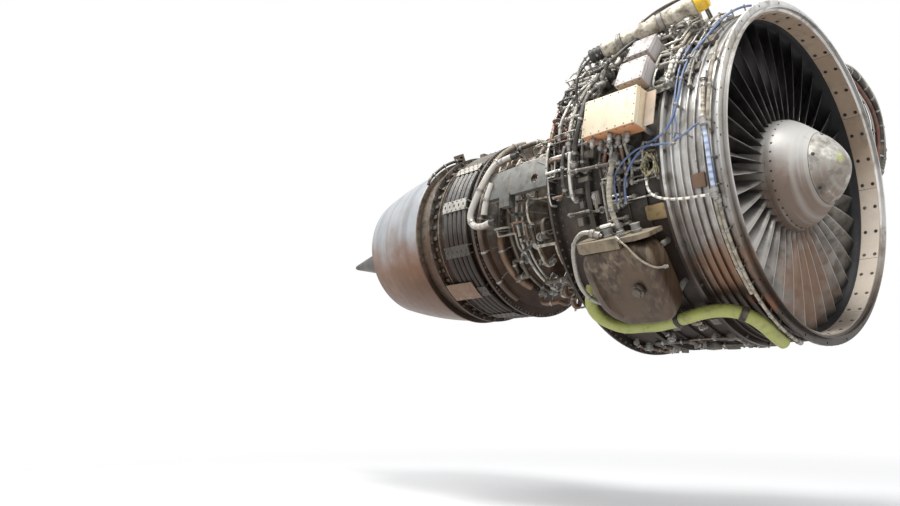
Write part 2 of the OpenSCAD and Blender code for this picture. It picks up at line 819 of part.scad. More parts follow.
// Dovetail foot, neck and twisted airfoil in one closed skin
module fan_blade() {
    n = 6;
    rings = len(blade_rings);
    walls = [for (i = [0:rings - 2], k = [0:n - 1]) let (a = i * n, b = (k + 1) % n)
        each i < 6 && i % 2 == 0 ? [[a + k, a + n + k, a + n + b, a + b]]
            : [[a + k, a + n + k, a + n + b], [a + k, a + n + b, a + b]]];
    last = n * (rings - 1);
    foot = [for (k = [1:n - 2]) [0, k, k + 1]];
    tip = [for (k = [1:n - 2]) [last, last + k + 1, last + k]];
    polyhedron([for (r = blade_rings) each r], concat(foot, tip, walls));
}

module fan_blades() {
    color("lightslategray")
        for (i = [0:fan_blade_n - 1])
            rotate([180 + 360 / fan_blade_n * i, 0, 0])
                fan_blade();
}

// Wedges that fill the hub between two blades, cut to the blade roots' own outline
module fan_platforms() {
    gap = 0.8;
    turn = 360 / fan_blade_n;
    front = skirt_x - 2;
    rear = disk_rear_x + 1;
    upper = [for (k = [0, 1, 2, 3]) root_airfoil[k] + [blade_mid_x, gap]];
    lower = [for (k = [3, 4, 5, 0]) root_airfoil[k] + [blade_mid_x, -gap]];
    color("silver")
        for (i = [0:fan_blade_n - 1])
            rotate([180 + turn * i, 0, 0])
                intersection() {
                    union() {
                        arc(-turn / 2, turn * 1.5)
                            polygon([[disk_rim_r + 5, front], [hub_r - 2, front], [hub_r + 27, rear],
                                [disk_rim_r + 5, rear]]);
                        arc_block(turn / 2 - 0.8, turn / 2 + 0.8, disk_front_x - 6, rear + 6, disk_rim_r,
                            disk_rim_r + 6);
                    }
                    linear_extrude(root_top_r)
                        polygon(concat([[rear, lower[0][1]]], lower, [[front, lower[3][1]],
                            [front, -70], [rear, -70]]));
                    rotate([turn, 0, 0])
                        linear_extrude(root_top_r)
                            polygon(concat([[front, upper[0][1]]], upper, [[rear, upper[3][1]],
                                [rear, 70], [front, 70]]));
                }
}

module booster_rotor() {
    rows = [for (i = [0:2]) nose_x - 14 - booster_pitch * i];
    end = nose_x - 55 - 2 * booster_pitch - 40;
    color("gray")
        union() {
            turned([[disk_rear_x, 150], [disk_rear_x, hub_r + 28], [duct_x - 18, booster_hub_r],
                [end, booster_hub_r], [end, booster_hub_r - 8], [duct_x - 20, booster_hub_r - 8],
                [disk_rear_x - 8, hub_r + 20], [disk_rear_x - 8, 150]]);
            for (x = rows)
                blade_row(x, 34, 40, booster_hub_r - 6, booster_hub_r + 1, booster_tip_r, 3);
        }
}

module lp_shaft() {
    b = bearing_xs;
    land = 96 - slot_fit;
    end = rear_frame_x - 80;
    lpt_mid = lpt_disc_x + 12;
    color("silver")
        turned([[disk_rear_x, 148], [disk_rear_x - 14, 148], [disk_rear_x - 30, 100],
            [b[0] + 2, 88], [b[0] + 2, land], [b[0] - 28, land], [b[0] - 28, 88],
            [b[1] + 2, 88], [b[1] + 2, land], [b[1] - 28, land], [b[1] - 28, 88],
            [frame_x - 80, 88], [frame_x - 100, 45], [lpt_x + 25, 45], [lpt_x + 25, 52],
            [lpt_x - 1, 52], [lpt_x - 1, 45], [lpt_mid, 45], [lpt_mid, 100], [lpt_mid - 12, 100],
            [lpt_mid - 12, 45], [rear_frame_x - 40, 45], [rear_frame_x - 40, 60 - slot_fit],
            [end, 60 - slot_fit], [end, 30], [disk_rear_x, 30]]);
}

module lpt_rotor() {
    front = lpt_x - 48;
    rear = lpt_x - 48 - lpt_pitch * 3 - 34;
    color("dimgray")
        union() {
            ring(front, rear, lpt_hub_r - 9, lpt_hub_r);
            ring(lpt_disc_x, lpt_disc_x - 10, 46, lpt_hub_r - 4);
            for (i = [0:3])
                blade_row(lpt_x - 48 - lpt_pitch * i, 34, 40, lpt_hub_r - 6, lpt_hub_r + 1,
                    lpt_case_in_r(i) - run_gap, 2.4);
        }
}

// High-pressure spool
module hpc_rotor() {
    outer = [for (i = [0:hpc_stages - 1]) each [[rotor_x(i) + 1, hub_at(i) - 1],
        [rotor_x(i + 1) + 1, hub_at(i) - 1]]];
    last = rotor_x(hpc_stages) + 1;
    color("gray")
        union() {
            turned(concat([[rotor_x(0) + 1, hpc_drum_r]], outer, [[last, hpc_drum_r]]));
            ring(rotor_x(0) + 9, rotor_x(0) - 3, 92, 168);
            ring(last + 8, last - 2, 66, 196);
            for (i = [0:hpc_stages - 1])
                blade_row(rotor_x(i), 22, 22, hpc_drum_r + 2, hub_at(i), hpc_case_in_r - run_gap, 2.6);
        }
}

module core_shaft() {
    b = bearing_xs[2];
    land = 96 - slot_fit;
    gear_x = drive_x + 10;
    front = drive_x + 30;
    flange = rotor_x(0) + 9;
    rear = rotor_x(hpc_stages) - 1;
    turbine = hpt_x - 20;
    color("silver") {
        union() {
            turned([[front, 54], [front, 88], [b + 2, 88], [b + 2, land], [b - 28, land],
                [b - 28, 88], [flange + 8, 88], [flange + 8, 150], [flange, 150], [flange, 54]]);
            blade_row(gear_x, 20, 30, 80, 100, 112, 10);
        }
        turned([[rear, 58], [rear, 150], [rear - 8, 150], [rear - 20, 72], [turbine + 8, 72],
            [turbine + 8, 110], [turbine, 110], [turbine, 58]]);
    }
}

module hpt_rotor() {
    x = hpt_x - 20;
    color("dimgray")
        union() {
            turned([[x, 74], [x, 110], [x - 6, 280], [x + 4, 292], [x - 34, 292], [x - 26, 280],
                [x - 30, 110], [x - 30, 84], [lpt_x + 22, 72], [lpt_x + 3, 72], [lpt_x + 3, 62],
                [x - 30, 62], [x - 30, 58], [x, 58]]);
            blade_row(x - 2, 30, 48, 286, 291.5, hpt_tip_r, 3);
            for (i = [0:11])
                at(30 * i, 57.6, lpt_x + 20)
                    along_x(0, 15, 5.2);
        }
}

// Drive to the gearboxes
module radial_drive_shaft() {
    color("silver")
        at(drive_theta, 0, drive_x)
            union() {
                translate([0, 0, 116])
                    cylinder(r = 12, h = side_shaft_r - 116 - 24);
                translate([0, 0, 114.5])
                    linear_extrude(18)
                        gear_outline(16, 15, 20);
                translate([0, 0, side_shaft_r - 42])
                    linear_extrude(16)
                        gear_outline(16, 17, 22);
            }
}

module gear_outline(n, r, tip) {
    polygon([for (i = [0:n - 1]) let (a = 360 * i / n, w = 90 / n) each [
        on_ring(r, a - w * 1.3), on_ring(tip, a - w * 0.6), on_ring(tip, a + w * 0.6),
        on_ring(r, a + w * 1.3)]]);
}

module horizontal_drive_shaft() {
    front = box_x - 130;
    color("silver")
        at(drive_theta, side_shaft_r, 0)
            union() {
                along_x(front, front - drive_x - 30, 14);
                translate([drive_x + 28, 0, 0])
                    rotate([0, 90, 0])
                        linear_extrude(16)
                            gear_outline(16, 17, 22);
            }
}

module transfer_gearbox() {
    color("slategray")
        difference() {
            seated(case_r)
                at(drive_theta, case_r - 10, drive_x) {
                    translate([-64, -55, 0])
                        cube([140, 110, side_shaft_r + 50 - case_r]);
                    translate([-74, -75, 0])
                        cube([160, 150, 24]);
                    translate([66, 0, side_shaft_r - case_r + 10])
                        along_x(20, 30, 46);
                }
            at(drive_theta, case_r - 87, drive_x)
                cylinder(r = 13, h = side_shaft_r - case_r + 67);
            at(drive_theta, side_shaft_r - 50, drive_x)
                cylinder(r = 24, h = 40);
            at(drive_theta, side_shaft_r, drive_x + 120)
                along_x(0, 80, 14.6);
            at(drive_theta, side_shaft_r, drive_x + 52)
                along_x(0, 80, 28);
        }
}

box_front = box_x;
box_rear = box_x - 150;

// Curved gearbox casting on the side away from the tank, with its legs on the duct case
module accessory_gearbox() {
    in_r = case_r + 43;
    out_r = case_r + 170;
    color("slategray")
        difference() {
            union() {
                arc_block(-132, -62, box_front, box_rear, in_r, out_r);
                arc_block(-128, -66, box_front + 8, box_rear - 8, in_r + 20, out_r - 20);
                for (a = [-124, -97, -70])
                    arc_block(a - 2.5, a + 2.5, box_x - 30, box_x - 60, case_r, in_r + 2);
            }
            at(drive_theta, side_shaft_r, box_rear + 40)
                along_x(0, 70, 14.6);
        }
}

pad_front_x = box_front + 8;
pad_rear_x = box_rear - 8;
pad_r = case_r + 110;

module can(theta, r, x, steps) {
    at(theta, r, 0)
        turned([for (s = steps) [x + s[0], s[1]]]);
}

// Generator on the front face: drum, end bell and terminal block
module generator() {
    r = case_r + 215;
    color("lightgray")
        union() {
            can(-70, r, pad_front_x, [[0, 0], [0, 88], [14, 88], [14, 132], [210, 132],
                [236, 122], [250, 98], [256, 60], [256, 0]]);
            at(-70, r, pad_front_x + 90)
                translate([-50, -45, 120])
                    cube([100, 90, 34]);
        }
}

module hydraulic_pump() {
    color("gray")
        union() {
            can(-97, pad_r, pad_front_x, [[0, 0], [0, 70], [12, 70], [12, 52], [120, 52], [128, 40],
                [170, 40], [170, 0]]);
            at(-97, pad_r, pad_front_x + 140)
                rotate([90, 0, 0])
                    cylinder(r = 16, h = 78);
        }
}

// Air starter on the rear face, with its inlet pipe stub
module starter() {
    color("silver")
        difference() {
            union() {
                can(-120, pad_r, pad_rear_x, [[0, 0], [0, 76], [-14, 76], [-14, 60], [-60, 60],
                    [-70, 80], [-150, 80], [-160, 56], [-190, 56], [-190, 0]]);
                at(-120, pad_r, pad_rear_x - 110)
                    rotate([0, -35, 0])
                        cylinder(r = 38, h = 130);
            }
            at(-120, pad_r, pad_rear_x - 110)
                rotate([0, -35, 0])
                    translate([0, 0, 60])
                        cylinder(r = 34, h = 90);
        }
}

lever_r = pad_r + 96;
lever_x = pad_rear_x - 150;

// Fuel pump with the fuel control stacked behind it
module fuel_control() {
    color("gray")
        union() {
            can(-82, pad_r, pad_rear_x, [[0, 0], [0, 74], [-14, 74], [-14, 58], [-90, 58], [-90, 0]]);
            at(-82, pad_r, pad_rear_x - 88)
                translate([-130, -72, -62])
                    cube([130, 144, 148]);
            at(-82, pad_r + 80, lever_x) {
                cylinder(r = 8, h = 30);
                cylinder(r = 13, h = 16 - slot_fit);
            }
            at(-82, pad_r, pad_rear_x - 160)
                rotate([90, 0, 0])
                    cylinder(r = 30, h = 104);
        }
}

module power_lever() {
    color("gold")
        at(-82, lever_r, lever_x)
            difference() {
                union() {
                    cylinder(r = 15, h = 8);
                    translate([0, -7, 0])
                        cube([86, 14, 8]);
                    translate([86, 0, 0])
                        cylinder(r = 10, h = 8);
                }
                translate([0, 0, -2])
                    cylinder(r = 8 + slot_fit, h = 12);
                translate([86, 0, -2])
                    cylinder(r = 4, h = 12);
            }
}

tank_front = duct_x - 20;
tank_rear = tank_front - 400;
tank_r = case_r + 60;
neck_h = 44;
hinge_x = -38;
hinge_h = neck_h + slot_fit + 4;
hinge_pin_r = 3;

// A place on the tank's top face, with Z out of the face
module tank_top(out, forward) {
    at(112, tank_r + out, tank_rear + forward)
        rotate([-90, 0, 0])
            children();
}

// Oil tank: a kidney-shaped vessel with a band at its top and straps to the case
module oil_tank() {
    out_r = case_r + 214;
    color("tan")
        union() {
            arc(112, 136)
                polygon([[tank_r, tank_front - 22], [tank_r, tank_rear + 30], [tank_r + 34, tank_rear],
                    [out_r - 50, tank_rear], [out_r, tank_rear + 60], [out_r, tank_front - 60],
                    [out_r - 50, tank_front], [tank_r + 34, tank_front]]);
            arc(135, 140)
                polygon([[tank_r, tank_front - 50], [tank_r, tank_rear + 60], [out_r - 40, tank_rear + 60],
                    [out_r - 40, tank_front - 60]]);
            arc(112, 115)
                polygon([[tank_r - 6, tank_front - 12], [tank_r - 6, tank_rear + 20],
                    [out_r - 44, tank_rear - 10], [out_r + 8, tank_rear + 60],
                    [out_r + 8, tank_front - 60], [out_r - 44, tank_front + 10]]);
            for (x = [duct_x - 60, duct_x - 255], a = [118, 133])
                arc_block(a - 1.5, a + 1.5, x + 15, x - 15, case_r, tank_r + 4);
            tank_top(75, 160) {
                translate([0, 0, -10])
                    cylinder(r = 24, h = 10 + neck_h);
                translate([hinge_x - 8, -12, neck_h - 20])
                    cube([32, 24, 12]);
                for (y = [-12, 7.6])
                    translate([hinge_x - 8, y, neck_h - 10])
                        cube([14, 4.4, hinge_h - neck_h + 15]);
                translate([hinge_x, 12, hinge_h])
                    rotate([90, 0, 0])
                        cylinder(r = hinge_pin_r, h = 24);
            }
            tank_top(60, 300)
                translate([0, 0, -10])
                    cylinder(r = 20, h = 50);
            tank_top(110, 250)
                translate([0, 0, -10])
                    cylinder(r = 14, h = 34);
        }
}

// Filler cap, with its hinge tongue and finger tab
module tank_cap() {
    color("white")
        tank_top(75, 160)
            difference() {
                translate([0, 0, neck_h + slot_fit])
                    union() {
                        cylinder(r = 28, h = 12);
                        translate([hinge_x - 6, -7, 0])
                            cube([24, 14, 8]);
                        translate([22, -6, 2])
                            cube([26, 12, 6]);
                    }
                translate([hinge_x, 20, hinge_h])
                    rotate([90, 0, 0])
                        cylinder(r = hinge_pin_r + slot_fit, h = 40);
            }
}

box_theta = 77.7;
box_w = 188;
control_x = duct_x - 180;

module control_box() {
    color("wheat")
        union() {
            seated(case_r)
                at(box_theta, case_r - 20, control_x)
                    for (x = [-74, 124], y = [-80, 62])
                        translate([x - 8, y, 0])
                            cube([16, 18, 96]);
            at(box_theta, case_r + 73, control_x)
                translate([-146, -box_w / 2, 0])
                    cube([292, box_w, 90]);
            at(box_theta, case_r + 73, control_x)
                translate([144, -box_w / 2 + 8, 20])
                    cube([54, box_w - 20, 5]);
        }
}

module exciter(theta, len, w) {
    union() {
        seated(case_r)
            at(theta, case_r - 20, duct_x - 95)
                for (x = [-64, 32], y = [-w / 2 + 8, w / 2 - 24])
                    translate([x, y, 0])
                        cube([14, 16, 104]);
        at(theta, case_r + 79, duct_x - 95)
            translate([-len / 2, -w / 2, 0])
                cube([len, w, 82]);
    }
}

// The two exciter boxes over the control box
module ignition_boxes() {
    color("rosybrown") {
        exciter(65, 176, 140);
        exciter(54.5, 186, 124);
    }
}

duct_a = round_to_xyz([frame_x, 51, case_r + 165]);
duct_b = round_to_xyz([duct_x + 100, 41, case_r + 158]);

module top_duct() {
    d = unit(duct_b - duct_a);
    color("wheat")
        difference() {
            union() {
                bar(duct_a, duct_b, 38);
                seated(case_r)
                    for (x = [duct_x - 60, duct_x - 260])
                        let (s = (x - duct_a[0]) / (duct_b[0] - duct_a[0]), m = duct_a + (duct_b - duct_a) * s)
                            bar(unit([0, m[1], m[2]]) * (case_r - 5) + [x, 0, 0], m, 9);
            }
            bar(duct_a - d, duct_b - 20 * d, 34);
        }
}

module duct_cap() {
    d = unit(duct_b - duct_a);
    color("gold")
        union() {
            bar(duct_b, duct_b + 46 * d, 42);
            bar(duct_b + 46 * d, duct_b + 56 * d, 34);
        }
}

// Green hose under the tank and up to the front flange
module lower_hose() {
    color("darkkhaki")
        union() {
            pipe([[duct_x - 360, 148, case_r + 60], [duct_x - 310, 148, case_r + 62],
                [duct_x - 200, 146.5, case_r + 64], [duct_x + 10, 142.5, case_r + 66],
                [duct_x + 150, 143, case_r + 74], [duct_x + 217, 149, case_r + 74],
                [duct_x + 217, 162, case_r + 74]], 60, 12);
            post(duct_x - 355, 148, case_r + 60, 20);
            post(duct_x + 217, 160, case_r + 74, 20);
        }
}

// Beam beside the core, from the fan frame to the combustion case
module side_bracket() {
    r = 600;
    rear = hpc_x - 672;
    color("dimgray")
        difference() {
            union() {
                arc_block(71, 84, hpc_x, rear, r - 10, r);
                arc_block(71.5, 72.7, hpc_x - 6, rear + 2, r - 46, r - 5);
                arc_block(82.3, 83.5, hpc_x - 6, rear + 2, r - 46, r - 5);
                arc_block(72.2, 82.8, hpc_x, hpc_x - 12, splitter_r, r - 5);
                arc_block(74, 81, rear + 12, rear, burner_r, r - 5);
                arc_block(83, 90, hpc_x - 490, hpc_x - 570, r - 40, r + 6);
            }
            at(78, r - 60, hpc_x - 310)
                cylinder(r = 26, h = 120);
        }
}

post_r = case_r + 50;

// A clip post from the case skin to a pipe
module post(x, theta, r, width = 8) {
    seated(case_r)
        at(theta, case_r - 6, x)
            cylinder(r = width / 2, h = r - case_r + 6);
}

// Pipes round the front of the case and along its side
module case_pipes() {
    color("lightgray")
        union() {
            pipe([[duct_x + 250, 58, post_r + 10], [duct_x + 256, 75, post_r + 6], [duct_x + 250, 90, post_r + 6],
                [duct_x + 240, 108, post_r + 6], [duct_x + 240, 124, post_r + 6],
                [duct_x + 244, 138, post_r + 6]], 22);
            for (a = [58, 80, 104, 124])
                post(duct_x + 244, a, post_r + 4);
            post(duct_x + 244, 138, post_r + 4);
            pipe([[duct_x + 190, 20, post_r], [duct_x + 180, 50, post_r], [duct_x + 100, 60, post_r],
                [duct_x + 100, 84, post_r], [duct_x - 80, 88, post_r], [duct_x - 180, 95, post_r],
                [duct_x - 190, 104, post_r]], 14);
            for (q = [[190, 21], [100, 72], [-190, 103]])
                post(duct_x + q[0], q[1], post_r);
        }
}

module side_pipes() {
    color("darkgray")
        union() {
            for (i = [0:2])
                pipe([[duct_x + 60, -30 - 4 * i, post_r + 20 * i], [duct_x - 60, -32 - 4 * i, post_r + 20 * i],
                    [duct_x - 150, -38 - 4 * i, post_r + 20 * i], [duct_x - 330, -40 - 4 * i, post_r + 20 * i]], 16);
            for (i = [0:2])
                post(duct_x - 40, -32 - 4 * i, post_r + 20 * i);
            pipe([[duct_x + 217, -28, post_r + 40], [duct_x + 217, -40, post_r + 120],
                [duct_x + 210, -50, post_r + 60], [duct_x + 179, -56, post_r]], 34);
            post(duct_x + 217, -28.5, post_r + 40, 16);
            post(duct_x + 179, -55.6, post_r, 16);
        }
}

// Air pipe round the core ahead of the turbine
module core_pipes() {
    color("wheat")
        union() {
            pipe([[hpt_x, 20, 545], [hpt_x - 10, 55, 560], [hpt_x - 6, 80, 545],
                [hpt_x - 20, 98, 570], [hpt_x - 20, 120, 570], [hpt_x, 150, 550]], 34, 10);
            for (a = [20.5, 149.5])
                seated(burner_r + 40)
                    at(a, burner_r + 30, hpt_x)
                        cylinder(r = 9, h = 125);
        }
}

fan_case();
inlet_liner_panels();
panel_bolts();
fan_shroud_ring();
outer_duct_case();
outlet_guide_vanes();
booster_case();
booster_vanes();
fan_frame();
flange_bolts();
hpc_case();
hpc_vanes();
vsv_actuators();
combustion_case();
combustor_liner();
fuel_nozzles();
fuel_manifold();
hpt_nozzle_ring();
hpt_case();
lpt_case();
lpt_vanes();
lpt_cooling_tubes();
turbine_rear_frame();
exhaust_nozzle();
exhaust_plug();
bearing_outer_rings();
transfer_gearbox();
accessory_gearbox();
starter();
generator();
fuel_control();
hydraulic_pump();
oil_tank();
control_box();
ignition_boxes();
top_duct();
duct_cap();
lower_hose();
side_bracket();
case_pipes();
side_pipes();
core_pipes();
spinner_front();
spinner_rear();
fan_disk();
fan_blades();
fan_platforms();
booster_rotor();
lp_shaft();
lpt_rotor();
hpc_rotor();
core_shaft();
hpt_rotor();
radial_drive_shaft();
horizontal_drive_shaft();
vsv_ring_front();
vsv_ring_rear();
vsv_rods();
tank_cap();
power_lever();
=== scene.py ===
import math

import bmesh
import bpy
import numpy as np
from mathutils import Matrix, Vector


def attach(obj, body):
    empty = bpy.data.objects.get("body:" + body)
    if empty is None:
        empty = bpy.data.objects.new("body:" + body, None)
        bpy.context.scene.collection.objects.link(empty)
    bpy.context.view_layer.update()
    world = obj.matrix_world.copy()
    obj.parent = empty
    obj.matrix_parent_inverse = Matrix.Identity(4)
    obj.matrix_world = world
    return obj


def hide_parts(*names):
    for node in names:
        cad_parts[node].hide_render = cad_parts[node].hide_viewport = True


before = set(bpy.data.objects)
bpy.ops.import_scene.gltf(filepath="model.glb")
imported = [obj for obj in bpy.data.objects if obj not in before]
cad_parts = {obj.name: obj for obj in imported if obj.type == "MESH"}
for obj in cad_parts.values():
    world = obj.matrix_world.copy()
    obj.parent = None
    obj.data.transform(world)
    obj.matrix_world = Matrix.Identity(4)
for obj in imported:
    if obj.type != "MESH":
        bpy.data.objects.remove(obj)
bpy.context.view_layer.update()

# Values shared with the part's source, lengths in metres
CASE_R = 0.787
DUCT_X = -0.29
REAR_X = -0.94
HPT_X = -1.70
LPT_X = -1.79
LPT_REAR_X = -2.20
BLADE_N = 38
BLADE_X = -0.18
ROOT_TOP_R = 0.306
TIP_R = 0.762
RIM_R = 0.258
PANEL_R = 0.7675
PIPE_R = 0.837
FRONT_PIPE_R = 0.843

# Values used by this script alone, lengths in metres and angles in degrees
POST_FOOT_R = 0.786
CONTROL_PLACE = (-0.47, 77.7, CASE_R + 0.073)
EXCITER_FOOT_R = CASE_R + 0.079
CORE_SKIN_R = 0.40
COOLING_X = -1.885 - 0.042 * np.arange(5)
COOLING_RING_R = 0.5365
COOLING_TUBE_R = 0.0155
STRAP_R = 0.5555
STRAP_HALF_ANGLE = 3.75
STUD_HALF_ANGLE = 2.8


# Camera at the photograph's angle
def look_from(place, yaw, pitch, pixels_of_focus, width):
    """A camera at a place, turned by yaw about +Z and by pitch above the horizon; its lens gives that focal
    length in pixels over that width."""
    data = bpy.data.cameras.new("camera")
    camera = bpy.data.objects.new("camera", data)
    bpy.context.scene.collection.objects.link(camera)
    data.sensor_width = 36
    data.lens = pixels_of_focus / width * data.sensor_width
    data.clip_end = 100
    camera.location = place
    ahead = Vector((-math.sin(yaw) * math.cos(pitch), math.cos(yaw) * math.cos(pitch), math.sin(pitch)))
    camera.rotation_mode = "QUATERNION"
    camera.rotation_quaternion = ahead.to_track_quat("-Z", "Y")
    bpy.context.scene.camera = camera


look_from(place=(1.6085, -3.6435, -1.0409), yaw=0.8625, pitch=0.1778, pixels_of_focus=784.45, width=900)


# Places round the engine
def unit(vectors):
    """Vectors brought to length 1, each by itself when there are several."""
    return vectors / np.linalg.norm(vectors, axis=-1, keepdims=True)


def around(x, theta, r):
    """Points at x along the shaft, theta degrees from the top toward the tank side, r from the shaft: (x,
    -r sin theta, r cos theta)."""
    a = np.radians(np.asarray(theta, float))
    return np.stack(np.broadcast_arrays(np.asarray(x, float), -r * np.sin(a), r * np.cos(a)), -1)


def seat_at(x, theta, r):
    """Origin and axes of a place on the engine: out from the shaft, forward along it, and the side toward a
    smaller theta."""
    a = np.radians(theta)
    out = np.array([0, -math.sin(a), math.cos(a)])
    forward = np.array([1.0, 0, 0])
    return around(x, theta, r), np.stack([forward, np.cross(out, forward), out])


def eased(points, passes=3):
    """A line with its corners cut at a quarter and three quarters of each leg, pass after pass; its ends
    stay."""
    p = np.asarray(points, float)
    for _ in range(passes):
        q = np.empty((2 * len(p) - 2, p.shape[1]))
        q[0::2] = 0.75 * p[:-1] + 0.25 * p[1:]
        q[1::2] = 0.25 * p[:-1] + 0.75 * p[1:]
        p = np.vstack([p[:1], q, p[-1:]])
    return p


def polar_line(stops, passes=3):
    """A smooth line from stops of (x, theta, r), eased in those three numbers, so that it bends round the
    case and not through it."""
    s = eased(stops, passes)
    return around(s[:, 0], s[:, 1], s[:, 2])


def spaced(line, step, start=0.0):
    """Points and unit tangents at even steps along a line, by linear interpolation over its length."""
    legs = np.linalg.norm(np.diff(line, axis=0), axis=1)
    run = np.concatenate([[0], np.cumsum(legs)])
    at = np.arange(start if start else step / 2, run[-1], step)
    points = np.stack([np.interp(at, run, line[:, i]) for i in range(3)], -1)
    ahead = np.stack([np.interp(at + 1e-3, run, line[:, i]) for i in range(3)], -1)
    behind = np.stack([np.interp(at - 1e-3, run, line[:, i]) for i in range(3)], -1)
    return points, unit(ahead - behind)


# Surfaces: each is a dict of points, quads, end caps and a length along it
def grid_quads(rows, columns, closed=True):
    """Quads of a grid of rows by columns; the columns join round when closed."""
    i = np.arange(rows - 1)[:, None] * columns
    k = np.arange(columns if closed else columns - 1)[None, :]
    n = (k + 1) % columns
    return np.stack([i + k, i + n, i + columns + n, i + columns + k], -1).reshape(-1, 4)


def shell(rings, along=None, capped=True):
    """A closed skin from rings of points: neighbours are joined by quads, and the first and last ring are
    filled."""
    rows, columns = rings.shape[:2]
    caps = [list(range(columns))[::-1], list(range((rows - 1) * columns, rows * columns))] if capped else []
    along = np.zeros(rows) if along is None else along
    return {"points": rings.reshape(-1, 3), "quads": grid_quads(rows, columns), "caps": caps,
            "along": np.repeat(along, columns)}


SIDE_CHOICES = unit(np.array([
    [1, 0, 0], [0, 1, 0], [0, 0, 1], [1, 1, 0], [1, -1, 0], [0, 1, 1], [0, 1, -1], [1, 0, 1],
    [1, 0, -1], [1, 1, 1], [1, 1, -1], [1, -1, 1], [-1, 1, 1]], float))


def tube(line, radius, sides=10):
    """A round tube: at each point of the line a ring of that radius stands square to it. The ring is turned
    from whichever of some fixed vectors stays furthest from the line's own direction. Radius may be a
    number or one for each point."""
    t = unit(np.gradient(line, axis=0))
    fixed = SIDE_CHOICES[np.argmin(np.abs(t @ SIDE_CHOICES.T).max(0))]
    u = unit(np.cross(t, fixed))
    v = np.cross(t, u)
    a = np.linspace(0, 2 * np.pi, sides, endpoint=False)[None, :, None]
    r = np.broadcast_to(radius, (len(line),))[:, None, None]
    rings = line[:, None] + r * (np.cos(a) * u[:, None] + np.sin(a) * v[:, None])
    run = np.concatenate([[0], np.cumsum(np.linalg.norm(np.diff(line, axis=0), axis=1))])
    return shell(rings, run)


def turned(profile, sides):
    """A skin turned about +Z from a list of (radius, height); each point makes one ring."""
    p = np.asarray(profile, float)
    a = np.linspace(0, 2 * np.pi, sides, endpoint=False)
    return shell(np.stack([p[:, :1] * np.cos(a), p[:, :1] * np.sin(a), np.repeat(p[:, 1:], sides, 1)], -1))


def turned_x(profile, sides=144, start=0.0, sweep=360.0):
    """A skin turned about the shaft from a closed outline of (x, radius), over a sweep of degrees from the
    angle theta start; less than a full turn is capped at both ends."""
    p = np.asarray(profile, float)
    full = sweep >= 360
    a = start + np.linspace(0, sweep, sides, endpoint=not full)
    rings = around(p[None, :, 0], a[:, None], p[None, :, 1])
    if full:
        rings = np.concatenate([rings, rings[:1]])
        made = shell(rings, capped=False)
        made["quads"] = made["quads"] % (sides * len(p))
        made["points"] = made["points"][:sides * len(p)]
        made["along"] = made["along"][:sides * len(p)]
        return made
    return shell(rings)


def hoop(x0, x1, low, high, sides=144, start=0.0, sweep=360.0):
    """A flat ring about the shaft, or a stretch of one: a rectangle between two x and two radii, turned."""
    return turned_x([(x0, low), (x0, high), (x1, high), (x1, low)], sides, start, sweep)


def outline(width, depth, corner, steps=3):
    """A rectangle's outline with round corners, as points counter-clockwise: corner centres plus a quarter
    circle at each."""
    a = np.radians(np.arange(4)[:, None] * 90 + np.linspace(0, 90, steps + 1)[None, :])
    sx = np.array([1, -1, -1, 1])[:, None]
    sy = np.array([1, 1, -1, -1])[:, None]
    x = sx * (width / 2 - corner) + corner * np.cos(a)
    y = sy * (depth / 2 - corner) + corner * np.sin(a)
    return np.stack([x.ravel(), y.ravel()], -1)


def block(width, depth, height, corner=0.004, edge=0.002, low=0.0):
    """A box with round upright corners and softened top and bottom edges: outlines drawn in by e(1 - sin a)
    and raised by e(1 - cos a) at each end."""
    a = np.radians(np.linspace(0, 90, 3))
    draw_in = np.concatenate([edge * (1 - np.sin(a)), edge * (1 - np.sin(a))[::-1]])
    z = np.concatenate([edge * (1 - np.cos(a)), height - edge * (1 - np.cos(a))[::-1]]) + low
    rings = []
    for d, h in zip(draw_in, z):
        flat = outline(width - 2 * d, depth - 2 * d, max(corner - d, 1e-5))
        rings.append(np.column_stack([flat, np.full(len(flat), h)]))
    return shell(np.array(rings))


def joined(parts):
    """Several skins as one."""
    base, points, quads, caps, along = 0, [], [], [], []
    for p in parts:
        points.append(p["points"])
        quads.append(p["quads"] + base)
        caps += [[i + base for i in c] for c in p["caps"]]
        along.append(p["along"])
        base += len(p["points"])
    return {"points": np.concatenate(points), "quads": np.concatenate(quads), "caps": caps,
            "along": np.concatenate(along)}


def placed(part, origin, axes):
    """A skin moved from its own axes to a place: origin + x X + y Y + z Z."""
    return {**part, "points": np.asarray(origin) + part["points"] @ np.asarray(axes)}


def set_at(part, x, theta, r, turn=0.0):
    """A skin put at a place on the engine, standing out from the shaft, turned by so many degrees about
    that direction."""
    origin, axes = seat_at(x, theta, r)
    c, s = math.cos(math.radians(turn)), math.sin(math.radians(turn))
    spun = np.stack([c * axes[0] + s * axes[1], -s * axes[0] + c * axes[1], axes[2]])
    return placed(part, origin, spun)


def repeated(part, origins, outs):
    """Copies of a skin at many origins, with its Z along one direction for all or one for each; X lies
    square to that and to a fixed vector."""
    origins, outs = np.atleast_2d(origins), np.atleast_2d(outs)
    z = unit(outs)
    fixed = np.where(np.abs(z[:, :1]) > 0.8, [[0.0, 0.6, 0.8]], [[1.0, 0, 0]])
    y = unit(np.cross(z, fixed))
    x = np.cross(y, z)
    p = part["points"]
    points = origins[:, None] + p[None, :, :1] * x[:, None]
    points = points + p[None, :, 1:2] * y[:, None] + p[None, :, 2:] * z[:, None]
    n, m = len(origins), len(p)
    quads = (part["quads"][None] + (np.arange(n) * m)[:, None, None]).reshape(-1, 4)
    caps = [[i + k * m for i in c] for k in range(n) for c in part["caps"]]
    return {"points": points.reshape(-1, 3), "quads": quads, "caps": caps, "along": np.tile(part["along"], n)}


def outward(points):
    """Directions out from the shaft at some points."""
    return unit(np.array(points, float) * [0, 1, 1])


